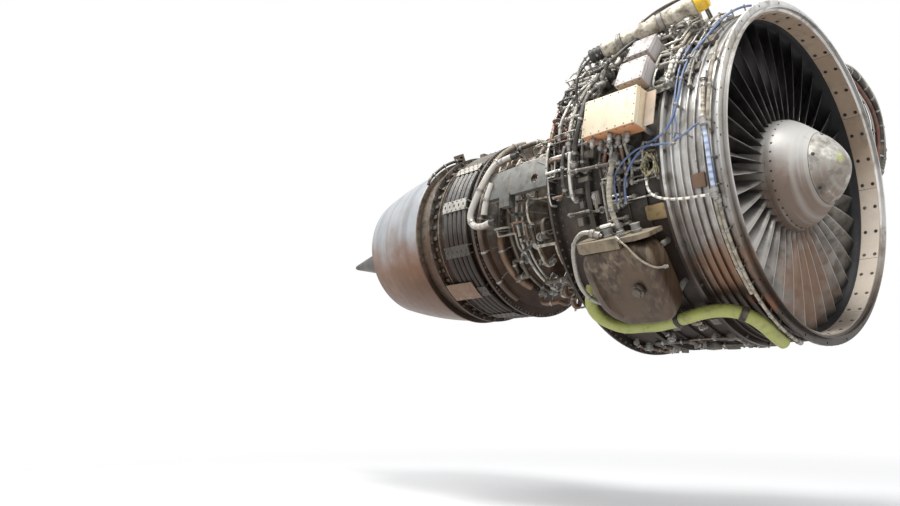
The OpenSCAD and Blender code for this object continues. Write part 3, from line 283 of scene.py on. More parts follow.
def piece(name, body, finish, parts, stands_for=(), crease=35):
    """One object from some skins: it gets its finish, smooth faces up to the crease angle, its length
    attribute and its body."""
    made = joined(parts)
    mesh = bpy.data.meshes.new(name)
    mesh.from_pydata(made["points"].tolist(), [], made["quads"].tolist() + made["caps"])
    mesh.validate()
    work = bmesh.new()
    work.from_mesh(mesh)
    bmesh.ops.recalc_face_normals(work, faces=work.faces)
    work.to_mesh(mesh)
    work.free()
    mesh.polygons.foreach_set("use_smooth", np.ones(len(mesh.polygons), bool))
    mesh.set_sharp_from_angle(angle=math.radians(crease))
    run = mesh.attributes.new("run", "FLOAT", "POINT")
    run.data.foreach_set("value", made["along"].astype(np.float32))
    mesh.materials.append(finish)
    obj = bpy.data.objects.new(name, mesh)
    bpy.context.scene.collection.objects.link(obj)
    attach(obj, body)
    if stands_for:
        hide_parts(*stands_for)
    return obj


# Small repeated parts
def faced_out(part, x, theta, r):
    """Copies of a skin at places on the engine, turned to look out from the shaft."""
    points = around(x, theta, r)
    return repeated(part, points, outward(points))


def hex_bolt(d):
    """A bolt head on its washer: a round plate 2.3 d wide and a six-sided head 1.7 d wide with a chamfered
    top."""
    washer = turned([(1.15 * d, 0), (1.15 * d, 0.18 * d), (1.1 * d, 0.22 * d)], 12)
    head = turned([(0.95 * d, 0.2 * d), (0.95 * d, 0.75 * d), (0.8 * d, 0.9 * d)], 6)
    return joined([washer, head])


def flat_screw(d):
    """A round head, slightly domed: radii d/2, 0.42 d and 0.2 d at rising heights."""
    return turned([(0.5 * d, 0), (0.5 * d, 0.12 * d), (0.42 * d, 0.2 * d), (0.2 * d, 0.24 * d)], 10)


def plug_body(d, length):
    """A round connector: knurled nut, body and tail, as a turned profile along Z."""
    shares = [(0.42, 0), (0.42, 0.12), (0.62, 0.14), (0.62, 0.4), (0.5, 0.43), (0.5, 0.72), (0.56, 0.74),
              (0.56, 0.82), (0.36, 0.86), (0.3, 1)]
    return turned([(r * d, z * length) for r, z in shares], 12)


def rods(a, b, r, sides=8):
    """Straight round bars from points a to points b."""
    a, b = np.atleast_2d(a), np.atleast_2d(b)
    return joined([tube(np.linspace(p, q, 2), r, sides) for p, q in zip(a, b)])


def posts(x, theta, low, high, r, sides=8):
    """Straight round bars that stand out from the shaft at places on the engine, between two radii."""
    return rods(around(x, theta, low), around(x, theta, high), r, sides)


def collar(inner, outer, half, sides):
    """A short collar about Z between two radii, from -half to half."""
    return turned([(inner, -half), (outer, -half), (outer, half), (inner, half)], sides)


def bands(line, radius, step, width=0.012, start=0.0):
    """Clamp bands round a tube at even steps: short collars a little wider than the tube."""
    points, t = spaced(line, step, start)
    return repeated(collar(radius * 1.02, radius * 1.14, width / 2, 14), points, t)


def clips(line, radius, step, skin_r=CASE_R):
    """Clamp bands with a foot: each band has a bar from the tube to the skin below it and a small bolt on
    top."""
    half_width, foot_r, bolt = 0.006, 0.0035, 0.0045
    points, t = spaced(line, step)
    out = outward(points)
    foot = points - out * (np.linalg.norm(points[:, 1:], axis=1)[:, None] - skin_r)
    return joined([repeated(collar(radius * 1.02, radius * 1.16 + 0.0004, half_width, 12), points, t),
                   rods(foot, points - out * radius, foot_r, 6),
                   repeated(hex_bolt(bolt), points + out * (radius * 1.12), out)])


# Finishes
def tone(red, green, blue):
    """A colour written as it shows on a screen, turned to the linear values that shaders use."""
    c = np.array([red, green, blue], float) / 255
    linear = np.where(c <= 0.04045, c / 12.92, ((c + 0.055) / 1.055) ** 2.4)
    return (*linear.tolist(), 1.0)


def add_node(tree, kind, sockets=(), **settings):
    """A shader node with some of its settings set and some of its sockets linked or given."""
    node = tree.nodes.new(kind)
    for key, value in settings.items():
        setattr(node, key, value)
    for socket, source in sockets:
        if isinstance(source, bpy.types.NodeSocket):
            tree.links.new(source, node.inputs[socket])
        else:
            node.inputs[socket].default_value = source
    return node


# These dirt and soot colours also serve for the painted shade that corners() lays in corners and under
# pieces.
GRIME_AND_SHADE = tone(58, 49, 40)
DUST = tone(150, 134, 112)
SOOT_AND_SHADE = tone(22, 21, 21)
DUST_PALE = tone(178, 168, 150)


class Coat:
    """The nodes of one finish: colour is worked up layer by layer, then goes to a shader with roughness and
    bump."""

    def __init__(self, name, base, roughness, metallic=0.0):
        self.material = bpy.data.materials.new(name)
        self.material.use_nodes = True
        self.tree = self.material.node_tree
        self.shader = self.tree.nodes["Principled BSDF"]
        for socket, value in (("Metallic", metallic), ("Roughness", roughness), ("Base Color", base)):
            self.shader.inputs[socket].default_value = value
        self.roughness = roughness
        self.where = self.add("ShaderNodeTexCoord").outputs["Object"]
        self.colour = base
        self.height = None

    def add(self, kind, sockets=(), **settings):
        """One more node of this finish."""
        return add_node(self.tree, kind, sockets, **settings)

    def noise(self, scale, detail=4.0, stretch=(1, 1, 1), warp=0.0):
        """Noise over the piece, stretched along an axis by a smaller number there."""
        spread = self.add("ShaderNodeMapping", [("Vector", self.where), ("Scale", stretch)])
        return self.add("ShaderNodeTexNoise", [
            ("Vector", spread.outputs[0]), ("Scale", scale), ("Detail", detail), ("Roughness", 0.55),
            ("Distortion", warp)]).outputs["Fac"]

    def between(self, value, low, high):
        """0 at low and 1 at high, eased between them and level beyond; low may be the larger of the two."""
        return self.add("ShaderNodeMapRange", [("Value", value), ("From Min", low), ("From Max", high)],
                        interpolation_type="SMOOTHSTEP").outputs["Result"]

    def maths(self, operation, a, b):
        """The result of one operation on two values."""
        return self.add("ShaderNodeMath", [(0, a), (1, b)], operation=operation).outputs[0]

    def lay(self, colour, mask, amount=1.0):
        """Lays a colour over what is there, where the mask says."""
        if amount != 1.0:
            mask = self.maths("MULTIPLY", mask, amount)
        mix = self.add("ShaderNodeMix", [(0, mask), (6, self.colour), (7, colour)], data_type="RGBA")
        self.colour = mix.outputs[2]
        return self

    def blotches(self, colour, scale, cover=0.5, soft=0.12, amount=1.0, stretch=(1, 1, 1)):
        """Patches of a colour where noise passes a level; cover near 1 leaves little bare."""
        level = 0.75 - 0.5 * cover
        patches = self.between(self.noise(scale, 5.0, stretch), level - soft, level + soft)
        return self.lay(colour, patches, amount)

    def runs(self, colour, scale=26, cover=0.4, amount=0.6, stretch=(1, 1, 0.06)):
        """Streaks that run down: noise stretched along Z, broken by a coarser one."""
        lines = self.between(self.noise(scale, 3.0, stretch), 0.66 - 0.4 * cover, 0.86 - 0.4 * cover)
        patches = self.between(self.noise(5.0, 3.0), 0.4, 0.62)
        return self.lay(colour, self.maths("MULTIPLY", lines, patches), amount)

    def rings(self, colour, scale=60, cover=0.4, amount=0.4):
        """Marks that run round the shaft: noise stretched so far along Y and Z that it changes along X
        alone."""
        lines = self.noise(scale, 3.0, (1, 0.03, 0.03))
        return self.lay(colour, self.between(lines, 0.66 - 0.4 * cover, 0.8 - 0.4 * cover), amount)

    def stain(self, colour, centre, radius, amount=0.8, ragged=0.5):
        """A stain round a point: distance plus noise, below the radius."""
        far = self.add("ShaderNodeVectorMath", [(0, self.where), (1, centre)],
                       operation="DISTANCE").outputs["Value"]
        rough = self.maths("MULTIPLY", self.noise(9.0, 5.0), ragged * radius * 2)
        edge = self.maths("ADD", far, rough)
        return self.lay(colour, self.between(edge, radius * 1.35, radius * 0.75), amount)

    def lowdown(self, colour, top, bottom, amount=0.7):
        """A colour toward the underside, from a height down to another, broken by noise; the finishes use it
        mostly for painted shade.
        """
        z = self.add("ShaderNodeSeparateXYZ", [("Vector", self.where)]).outputs["Z"]
        reach, mean = 0.45, 0.22
        level = self.maths("ADD", z, self.maths("MULTIPLY", self.noise(4.0, 5.0), reach))
        return self.lay(colour, self.between(level, top + mean, bottom + mean), amount)

    def facing(self, colour, start, full, amount=0.8):
        """A colour on faces that look down or up, from the height part of their direction: none at start,
        all of it at full."""
        normal = self.add("ShaderNodeNewGeometry").outputs["Normal"]
        up = self.add("ShaderNodeSeparateXYZ", [("Vector", normal)]).outputs["Z"]
        return self.lay(colour, self.between(up, start, full), amount)

    def corners(self, colour, distance=0.03, amount=0.7):
        """Painted shade in corners and under pieces, with some dirt, from how enclosed the surface is."""
        open_sky = self.add("ShaderNodeAmbientOcclusion", [("Distance", distance)], samples=4).outputs["AO"]
        closed = self.add("ShaderNodeMapRange", [
            ("Value", open_sky), ("From Min", 0.85), ("From Max", 0.35)]).outputs["Result"]
        return self.lay(colour, closed, amount)

    def wraps(self, colour, pitch, cover=0.5, amount=1.0):
        """Bands at an even pitch along a tube, from the piece's own length attribute."""
        run = self.add("ShaderNodeAttribute", attribute_name="run").outputs["Fac"]
        wave = self.maths("SINE", self.maths("MULTIPLY", run, 2 * math.pi / pitch), 0.0)
        mask = self.between(wave, 1 - 2 * cover - 0.25, 1 - 2 * cover + 0.25)
        self.rib = wave
        return self.lay(colour, mask, amount)

    def relief(self, value, strength, distance=0.001):
        """Bump from a value, laid over the bump before it."""
        links = [("Height", value), ("Strength", strength), ("Distance", distance)]
        if self.height is not None:
            links.append(("Normal", self.height))
        self.height = self.add("ShaderNodeBump", links).outputs["Normal"]
        return self

    def done(self, sheen=0.12, grain=400, grain_depth=0.15):
        """Links the colour, a roughness that varies by sheen either way, and a fine grain bump."""
        if isinstance(self.colour, bpy.types.NodeSocket):
            self.tree.links.new(self.colour, self.shader.inputs["Base Color"])
        rough = self.add("ShaderNodeMapRange", [
            ("Value", self.noise(18.0, 5.0)), ("To Min", max(self.roughness - sheen, 0.05)),
            ("To Max", min(self.roughness + sheen, 1.0))]).outputs["Result"]
        self.tree.links.new(rough, self.shader.inputs["Roughness"])
        self.relief(self.noise(grain, 3.0), grain_depth, 0.0006)
        self.tree.links.new(self.height, self.shader.inputs["Normal"])
        return self.material


def case_metal():
    """Bare ribbed case: pale and dull bands round it, tan stains, brown dirt and painted shade that thicken
    low down, painted shade in corners, an orange-brown patch."""
    c = Coat("case_metal", tone(226, 225, 222), 0.34, 0.5)
    c.rings(tone(132, 128, 121), 26, 0.5, 0.5).rings(tone(236, 234, 230), 60, 0.45, 0.6)
    c.blotches(tone(156, 147, 132), 5, 0.36, 0.1, 0.45).blotches(tone(100, 90, 76), 11, 0.26, 0.06, 0.5)
    c.runs(tone(88, 72, 54), 30, 0.5, 0.45)
    # Brown, then near-black toward the underside: painted shade over some brown dirt.
    c.lowdown(tone(98, 76, 58), 0.02, -0.5, 0.8).lowdown(tone(48, 37, 29), -0.3, -0.66, 0.88)
    c.stain(tone(138, 98, 70), (-0.12, -0.62, -0.52), 0.22, 0.6)
    c.stain(tone(150, 90, 56), (-0.05, -0.5, -0.68), 0.12, 0.6)
    # Painted shade in corners, with some grime.
    c.corners(tone(52, 44, 36), 0.035, 0.85)
    return c.done(0.14, 500, 0.1)


def dark_case():
    """Olive-black duct and frame skin with dust, scuffs and dried mud, brown to near-black painted shade
    toward the underside, and painted shade in corners.
    """
    c = Coat("dark_case", tone(64, 59, 53), 0.62, 0.15)
    c.blotches(tone(94, 88, 79), 7, 0.42, 0.12, 0.6).blotches(tone(40, 35, 31), 13, 0.4, 0.08, 0.7)
    c.runs(tone(128, 114, 94), 34, 0.36, 0.4)
    # Brown, then near-black toward the underside: painted shade over some brown dirt.
    c.lowdown(tone(58, 42, 32), -0.05, -0.45, 0.8)
    c.lowdown(tone(40, 29, 22), -0.25, -0.6, 0.85)
    c.stain(tone(176, 120, 108), (-0.93, -0.72, 0.28), 0.2, 0.85)
    c.stain(tone(196, 190, 180), (-0.8, -0.6, 0.5), 0.12, 0.5)
    # Painted shade in corners.
    c.corners(SOOT_AND_SHADE, 0.04, 0.8)
    return c.done(0.15, 420, 0.2)


def core_metal(name, base, brown=0.5):
    """Heat-stained core metal: brown and grey patches, soot and painted shade in the corners, rust low down,
    and near-black painted shade below it.
    """
    c = Coat(name, base, 0.5, 0.4)
    c.blotches(tone(92, 78, 64), 6, 0.5, 0.12, brown).blotches(tone(128, 122, 112), 14, 0.35, 0.08, 0.5)
    c.blotches(tone(44, 38, 33), 22, 0.4, 0.08, 0.65).runs(tone(98, 70, 46), 40, 0.45, 0.5)
    # Rust toward the underside, then near-black painted shade.
    c.lowdown(tone(84, 54, 36), 0.02, -0.3, 0.7)
    c.lowdown(tone(46, 33, 26), -0.15, -0.5, 0.7)
    # Soot and painted shade in corners.
    c.corners(SOOT_AND_SHADE, 0.03, 0.85)
    return c.done(0.15, 420, 0.25)


def nozzle_metal():
    """Pale brushed nozzle sheet: bluish by its front seam, straw and orange-brown low down."""
    c = Coat("nozzle_metal", tone(174, 177, 181), 0.34, 0.75)
    c.rings(tone(150, 153, 158), 18, 0.5, 0.5).blotches(tone(192, 194, 196), 5, 0.4, 0.2, 0.5)
    c.rings(tone(112, 116, 124), 7, 0.4, 0.35)
    c.blotches(tone(136, 128, 118), 9, 0.26, 0.1, 0.35, (1, 1, 0.4))
    c.lowdown(tone(124, 88, 62), 0.14, -0.22, 0.95).lowdown(tone(84, 56, 38), -0.12, -0.42, 0.8)
    # Painted shade in corners, with some grime.
    c.corners(GRIME_AND_SHADE, 0.03, 0.5)
    return c.done(0.1, 600, 0.08)


def plug_metal():
    """Dark exhaust cone with soft rings of heat and soot."""
    c = Coat("plug_metal", tone(98, 96, 94), 0.45, 0.7)
    c.rings(tone(64, 60, 57), 12, 0.5, 0.6).blotches(tone(126, 118, 108), 8, 0.35, 0.12, 0.5)
    c.blotches(SOOT_AND_SHADE, 14, 0.25, 0.1, 0.4)
    return c.done(0.12, 500, 0.12)


def spinner_paint(name, base, mottled):
    """Satin spinner skin, thinly soiled, brownish low down as a painted reflection of the ground; the cap is
    mottled, with a yellow-green smear by its tip.
    """
    c = Coat(name, base, 0.5, 0.3)
    c.blotches(tone(160, 157, 151), 3.5, 0.35, 0.2, 0.6)
    c.blotches(tone(116, 109, 100), 26, 0.2, 0.06, 0.35)
    # Brownish toward the bottom: a painted reflection of the ground.
    c.lowdown(tone(100, 76, 58), 0.14, -0.14, 0.85)
    c.rings(tone(190, 188, 183), 30, 0.4, 0.3)
    if mottled:
        c.blotches(tone(150, 144, 132), 9, 0.5, 0.1, 0.7).blotches(tone(104, 98, 90), 17, 0.35, 0.06, 0.6)
        c.blotches(tone(226, 224, 216), 12, 0.3, 0.08, 0.7)
        c.stain(tone(206, 212, 124), (0.15, -0.055, 0.02), 0.05, 0.5, 0.5)
        c.stain(tone(64, 60, 54), (0.075, -0.1, -0.12), 0.05, 0.6)
    return c.done(0.1, 350, 0.08)


def blade_metal():
    """Blade skin, dark and streaked outward, brown on one quarter, with a bare bright nose edge; a pale patch
    of painted light on the lower blades, and painted shade on the upper ones and in corners.
    """
    c = Coat("blade_metal", tone(112, 108, 104), 0.4, 0.6)
    c.blotches(tone(150, 146, 140), 7, 0.5, 0.15, 0.7).blotches(tone(72, 66, 62), 16, 0.4, 0.1, 0.6)
    # A pale patch on the lower blades toward the tank side: painted light.
    c.stain(tone(196, 192, 186), (-0.1, -0.48, -0.36), 0.36, 0.6)
    c.stain(tone(120, 90, 70), (-0.1, 0.13, -0.5), 0.44, 0.75)
    # Dark toward the top of the fan: painted shade on the upper blades.
    c.lowdown(tone(44, 44, 48), 0.05, 0.4, 0.75)
    run = c.add("ShaderNodeAttribute", attribute_name="run").outputs["Fac"]
    c.lay(tone(196, 192, 186), c.between(run, 0.5, 0.9), 0.5)
    c.corners(SOOT_AND_SHADE, 0.06, 0.7)
    return c.done(0.12, 380, 0.1)


def plain_metal(name, base, dirt=0.5, roughness=0.42, metallic=0.5, stains=GRIME_AND_SHADE, low=None):
    """Worked metal with tone changes, dirt in patches and runs, soot and painted shade in corners, dust on
    top, and another tone low on the core, which is painted shade."""
    c = Coat(name, base, roughness, metallic)
    lighter = tuple(min(1.0, v * 1.35) for v in base[:3]) + (1.0,)
    c.blotches(lighter, 12, 0.4, 0.15, 0.5)
    c.blotches(stains, 20, 0.35, 0.1, dirt)
    c.runs(DUST, 45, 0.4, dirt * 0.7)
    c.corners(SOOT_AND_SHADE, 0.02, 0.45).facing(DUST_PALE, 0.35, 0.95, 0.32)
    if low:
        # The low tone is painted shade toward the underside.
        c.lowdown(low, 0.05, -0.16, 0.9)
    return c.done(0.14, 450, 0.18)


def painted(name, base, under, dirt=0.5, roughness=0.5, low=None):
    """Old paint: fading, chips down to what is under it, runs of dirt, grime and painted shade in corners,
    and another tone on faces that look down, which is painted shade."""
    c = Coat(name, base, roughness, 0.0)
    faded = tuple(min(1.0, v * 1.18) for v in base[:3]) + (1.0,)
    c.blotches(faded, 6, 0.45, 0.2, 0.6).blotches(DUST, 15, 0.3, 0.12, dirt * 0.6)
    c.runs(GRIME_AND_SHADE, 38, 0.42, dirt * 0.8).blotches(under, 48, 0.12, 0.02, 0.9)
    # Faces that look down take the low tone: painted shade.
    if low:
        c.facing(low, -0.5, -0.9)
    c.corners(GRIME_AND_SHADE, 0.025, 0.75)
    return c.done(0.12, 300, 0.2)


def cream_box():
    """Cream paint, paler and tan in patches, with orange-tan and dark runs; faces that look down are
    orange-brown and its corners brown, both painted shade.
    """
    c = Coat("cream_box", tone(200, 186, 158), 0.5, 0.0)
    c.blotches(tone(210, 199, 176), 6, 0.5, 0.2, 0.7).blotches(tone(176, 152, 114), 22, 0.22, 0.08, 0.5)
    c.runs(tone(190, 150, 100), 36, 0.4, 0.5).runs(GRIME_AND_SHADE, 60, 0.25, 0.5)
    # Orange-brown on faces that look down: painted shade.
    c.facing(tone(172, 112, 70), -0.5, -0.9, 0.9)
    c.corners(tone(120, 84, 50), 0.02, 0.7)
    return c.done(0.1, 300, 0.2)


def tank_metal():
    """Oil tank: grey-brown metal under long vertical runs of mud and oil."""
    c = Coat("tank_metal", tone(110, 89, 66), 0.44, 0.3)
    c.blotches(tone(138, 124, 104), 5, 0.42, 0.15, 0.6).blotches(tone(64, 50, 38), 10, 0.42, 0.1, 0.7)
    c.runs(tone(50, 37, 28), 24, 0.7, 0.9, (1, 1, 0.08)).runs(tone(158, 144, 120), 42, 0.5, 0.6, (1, 1, 0.05))
    # Darker brown toward the bottom; painted shade in corners.
    c.lowdown(tone(58, 40, 27), -0.25, -0.62, 0.75).corners(SOOT_AND_SHADE, 0.04, 0.8)
    return c.done(0.16, 300, 0.3)


def liner_tan():
    """Tan liner panels: matt and lightly mottled, paler and greyer toward the bottom, with painted shade in
    their corners.
    """
    c = Coat("liner_tan", tone(160, 138, 118), 0.6, 0.0)
    c.blotches(tone(176, 156, 136), 6, 0.5, 0.2, 0.7).blotches(tone(128, 116, 98), 18, 0.3, 0.1, 0.5)
    # Paler toward the bottom; painted shade in the panels' corners.
    c.lowdown(tone(206, 200, 188), 0.3, -0.1, 0.5).corners(GRIME_AND_SHADE, 0.012, 0.8)
    return c.done(0.1, 500, 0.2)


def rubbed_liner():
    """Near-black soft liner, rubbed in rings by the blade tips."""
    c = Coat("rubbed_liner", tone(38, 38, 40), 0.75, 0.0)
    c.rings(tone(66, 64, 62), 50, 0.4, 0.6).blotches(tone(24, 24, 25), 10, 0.4, 0.1, 0.6)
    return c.done(0.1, 500, 0.3)


def wrapping(name, base, dark, pitch, dirt=0.5, roughness=0.75, metallic=0.0):
    """Taped or sleeved line: bands along it, dirt in patches, dust on top, painted shade in corners, and a
    weave or fold bump.
    """
    c = Coat(name, base, roughness, metallic)
    c.wraps(dark, pitch, 0.3, 0.75)
    c.blotches(GRIME_AND_SHADE, 24, 0.35, 0.1, dirt)
    c.blotches(DUST, 12, 0.35, 0.15, dirt * 0.6)
    c.corners(SOOT_AND_SHADE, 0.02, 0.45).facing(DUST_PALE, 0.35, 0.95, 0.3).relief(c.rib, 0.35, 0.002)
    return c.done(0.1, 500, 0.3)


def sleeve(name, base, dirt=0.3, roughness=0.5):
    """Plain smooth hose or cable jacket with soil on it, and painted shade in its corners."""
    c = Coat(name, base, roughness, 0.0)
    darker = tuple(v * 0.6 for v in base[:3]) + (1.0,)
    c.blotches(darker, 9, 0.4, 0.2, 0.5)
    c.blotches(GRIME_AND_SHADE, 30, 0.3, 0.1, dirt)
    c.blotches(DUST, 16, 0.3, 0.15, dirt)
    c.corners(SOOT_AND_SHADE, 0.02, 0.6)
    return c.done(0.12, 300, 0.15)


def lagging():
    """Foil-and-cloth insulation: beige, creased, soiled, with painted shade in its folds and corners."""
    c = Coat("lagging", tone(182, 172, 152), 0.7, 0.1)
    c.blotches(tone(206, 198, 182), 10, 0.5, 0.15, 0.7).blotches(tone(110, 98, 80), 18, 0.4, 0.08, 0.7)
    c.blotches(GRIME_AND_SHADE, 34, 0.35, 0.08, 0.6).corners(SOOT_AND_SHADE, 0.03, 0.8)
    c.relief(c.noise(38, 6.0, warp=1.2), 0.6, 0.012)
    return c.done(0.12, 260, 0.35)


SILVER = case_metal()
DARK = dark_case()
HOT = core_metal("hot_core", tone(104, 94, 82), 0.5)
HOT_DARK = core_metal("hot_core_dark", tone(70, 66, 60), 0.35)
NOZZLE = nozzle_metal()
PLUG = plug_metal()
SPINNER = spinner_paint("spinner_skin", tone(178, 176, 172), False)
SPINNER_CAP = spinner_paint("spinner_cap_skin", tone(180, 178, 173), True)
BLADE = blade_metal()
STEEL = plain_metal("steel", tone(150, 147, 142), 0.5)
BOLT = plain_metal("bolt_metal", tone(96, 92, 86), 0.5, 0.45)
DARK_BOLT = plain_metal("dark_bolt", tone(52, 49, 46), 0.5, 0.5)
PIPE = plain_metal("pipe_metal", tone(188, 184, 175), 0.4, 0.36)
PIPE_DARK = plain_metal("pipe_dark", tone(92, 84, 74), 0.6, 0.5)
PIPE_BROWN = plain_metal("pipe_brown", tone(112, 90, 74), 0.6, 0.5, 0.5, tone(112, 78, 54))
CAST = plain_metal("cast_grey", tone(134, 134, 130), 0.6, 0.55, 0.4)
PIPE_TAN = plain_metal("pipe_tan", tone(150, 138, 120), 0.5, 0.45, 0.5)
BRACKET = plain_metal("bracket_metal", tone(104, 98, 90), 0.5, 0.55, 0.35)
BAND = plain_metal("band_metal", tone(122, 108, 88), 0.6, 0.5, 0.3)
# The low tones of the strap, cooling tube and core pipe metals are painted shade toward the underside.
STRAP = plain_metal("strap_metal", tone(158, 154, 146), 0.5, 0.55, 0.2, low=tone(48, 38, 31))
COOLING = plain_metal("cooling_tube_metal", tone(74, 72, 70), 0.5, 0.45, 0.4, low=tone(44, 33, 26))
CORE_PIPE = plain_metal("core_pipe_metal", tone(116, 106, 94), 0.6, 0.55, 0.25, low=tone(70, 50, 38))
BEAM = plain_metal("beam_metal", tone(94, 94, 90), 0.6, 0.5, 0.35)
# The low tones of the core duct paint and the exciter paint are painted shade on faces that look down.
CORE_DUCT = painted("core_duct_paint", tone(172, 168, 160), tone(112, 96, 80), 0.8, 0.6, tone(110, 78, 56))
CREAM = cream_box()
EXCITER = painted("exciter_paint", tone(172, 166, 164), tone(124, 116, 108), 0.5, low=tone(140, 118, 96))
UNIT = painted("unit_paint", tone(150, 148, 142), tone(90, 86, 80), 0.5)
TANK = tank_metal()
PANEL = liner_tan()
LINER = rubbed_liner()
LAGGING = lagging()
YELLOW = sleeve("yellow_cap", tone(236, 190, 40), 0.25, 0.4)
WHITE = sleeve("white_cap", tone(224, 220, 208), 0.3, 0.45)
GREEN = sleeve("green_hose", tone(148, 152, 80), 0.3, 0.42)
BLUE = sleeve("blue_cable", tone(92, 112, 150), 0.25, 0.5)
BLUE_PALE = wrapping("pale_blue_sleeve", tone(184, 194, 210), tone(116, 138, 180), 0.03, 0.3, 0.5)
BLACK = sleeve("black_hose", tone(44, 42, 40), 0.4, 0.55)
RED = sleeve("red_sleeve", tone(112, 68, 58), 0.5, 0.6)
PINK = painted("pink_plate_paint", tone(178, 118, 108), tone(120, 108, 100), 0.6)
TAN_PAD = sleeve("tan_pad", tone(142, 120, 82), 0.5, 0.7)
BEIGE_WRAP = wrapping("beige_wrap", tone(176, 168, 150), tone(150, 140, 122), 0.022, 0.55)
CREAM_HOSE = wrapping("cream_hose", tone(172, 164, 148), tone(156, 147, 130), 0.02, 0.5)
FRONT_WRAP = wrapping("front_wrap", tone(158, 150, 134), tone(116, 106, 92), 0.06, 0.7)
BRAID = wrapping("braid", tone(176, 172, 162), tone(96, 92, 84), 0.007, 0.45, 0.5, 0.5)
WHITE_WRAP = wrapping("white_wrap", tone(222, 218, 208), tone(108, 100, 88), 0.034, 0.35)
OLIVE_WRAP = wrapping("olive_wrap", tone(150, 143, 112), tone(104, 98, 76), 0.02, 0.5)
GREY_WRAP = wrapping("grey_wrap", tone(138, 132, 122), tone(84, 80, 74), 0.018, 0.5)


# Fan and spinner
def rounded(angles, power):
    """Cosine and sine of some angles, each raised to a power below 1 with its sign kept: a circle drawn out
    to a rounded square."""
    return [np.sign(w) * np.abs(w)**power for w in (np.cos(angles), np.sin(angles))]


def blade_rows(count=24, points=26):
    """Rings of one blade, foot to tip. The foot is a rounded block; above it each ring is a curved, thin
    section, q from nose to tail: half thickness t n(q), camber 4 c q (1 - q), turned by its stagger and
    bent to its radius."""
    phi = np.linspace(0, 2 * np.pi, points, endpoint=False)
    q = (1 - np.cos(phi)) / 2
    side = np.sign(np.sin(phi))
    form = 10 * (0.2969 * np.sqrt(q) - 0.126 * q - 0.3516 * q**2 + 0.2843 * q**3 - 0.1036 * q**4)
    s = np.concatenate([[0, 0], np.linspace(0, 1, count)])[:, None]
    radius = np.concatenate([[RIM_R + 0.004, 0.28], np.linspace(ROOT_TOP_R, TIP_R - 0.0005, count)])[:, None]
    chord = 0.140 + 0.048 * s
    stagger = np.radians(10 + 50 * s**0.85)
    u = (0.5 - q) * chord
    v = 4 * 0.006 * (1 - 0.6 * s) * q * (1 - q) + side * form * (0.013 - 0.0095 * s) / 2
    x = u * np.cos(stagger) + v * np.sin(stagger)
    y = -u * np.sin(stagger) + v * np.cos(stagger)
    rings = np.stack([BLADE_X + x, y, np.sqrt(radius**2 - y**2)], -1)
    half = np.array([0.012, 0.012, 0.0065, 0.0065])[:, None]
    height = np.array([0.2145, 0.226, 0.244, RIM_R])[:, None]
    foot_x = BLADE_X - 0.005 + 0.0735 * rounded(phi, 0.25)[0]
    foot = np.stack(np.broadcast_arrays(foot_x, half * rounded(phi, 0.25)[1], height), -1)
    nose = np.clip(1 - q / 0.05, 0, 1) * np.ones((len(rings), 1)) * np.clip((radius - 0.3) / 0.04, 0, 1)
    return np.concatenate([foot, rings]), np.concatenate([np.zeros((4, points)), nose])


rings, nose = blade_rows()
one = shell(rings)
one["along"] = nose.ravel()
turns = np.radians(180 + 360 / BLADE_N * np.arange(BLADE_N))
blades = []
for a in turns:
    spin = np.array([[1, 0, 0], [0, math.cos(a), math.sin(a)], [0, -math.sin(a), math.cos(a)]])
    blades.append({**one, "points": one["points"] @ spin})
piece("fan_blade_set", "low_spool", BLADE, blades, ["fan_blades"], 40)


def curve_through(stops, count):
    """A smooth profile through its stops: Catmull-Rom pieces, each a cubic of its four neighbours."""
    p = np.asarray(stops, float)
    p = np.vstack([2 * p[0] - p[1], p, 2 * p[-1] - p[-2]])
    t = np.linspace(0, 1, count, endpoint=False)[:, None]
    parts = [
        0.5 * (2 * b + (c - a) * t + (2 * a - 5 * b + 4 * c - d) * t**2 + (3 * b - a - 3 * c + d) * t**3)
        for a, b, c, d in zip(p, p[1:], p[2:], p[3:])]
    return np.vstack(parts + [p[-2:-1]])


skin = curve_through([(-0.098, 0.272), (-0.073, 0.267), (-0.04, 0.250), (0, 0.221), (0.057, 0.1715)], 8)
inside = [(0.057, 0.160), (-0.04, 0.238), (-0.088, 0.256), (-0.088, 0.2), (-0.098, 0.2)]
piece("spinner_cone", "low_spool", SPINNER, [turned_x(np.vstack([skin, inside]), 180)], ["spinner_rear"],
      30)
cap = curve_through([(0.058, 0.1708), (0.09, 0.1455), (0.12, 0.112), (0.145, 0.0755), (0.161, 0.043),
                     (0.169, 0.018), (0.1709, 0.004)], 6)
cap_skin = turned_x(np.vstack([[(0.058, 0.004), (0.058, 0.150)], cap]), 160)
tip = turned_x([(0.1708, 0.0002), (0.1709, 0.0041), (0.16, 0.0041), (0.16, 0.0002)], 24)
piece("spinner_cap", "low_spool", SPINNER_CAP, [cap_skin, tip], ["spinner_front"], 30)


def on_cone(x, theta, stops):
    """Places on a turned skin and the directions out of it, from its profile's slope there."""
    p = np.asarray(stops, float)
    r = np.interp(x, p[:, 0], p[:, 1])
    slope = np.interp(x, p[:, 0], np.gradient(p[:, 1], p[:, 0]))
    points = around(x, theta, r)
    outs = outward(points)
    outs[:, 0] = -slope
    return points, unit(outs)


at, outs = on_cone(-0.072, 7.2 + 10 * np.arange(36), skin)
piece("spinner_rear_screws", "low_spool", DARK_BOLT,
      [repeated(flat_screw(0.0105), at - outs * 0.0006, outs)])
at, outs = on_cone(0.074, 17 + 60 * np.arange(6), cap[:-1])
piece("spinner_cap_screws", "low_spool", DARK_BOLT,
      [repeated(flat_screw(0.017), at - outs * 0.001, outs)])
seam = turned_x([(0.0565, 0.1722), (0.0585, 0.1716), (0.0585, 0.165), (0.0565, 0.165)], 160)
piece("spinner_seam", "low_spool", DARK_BOLT, [seam])


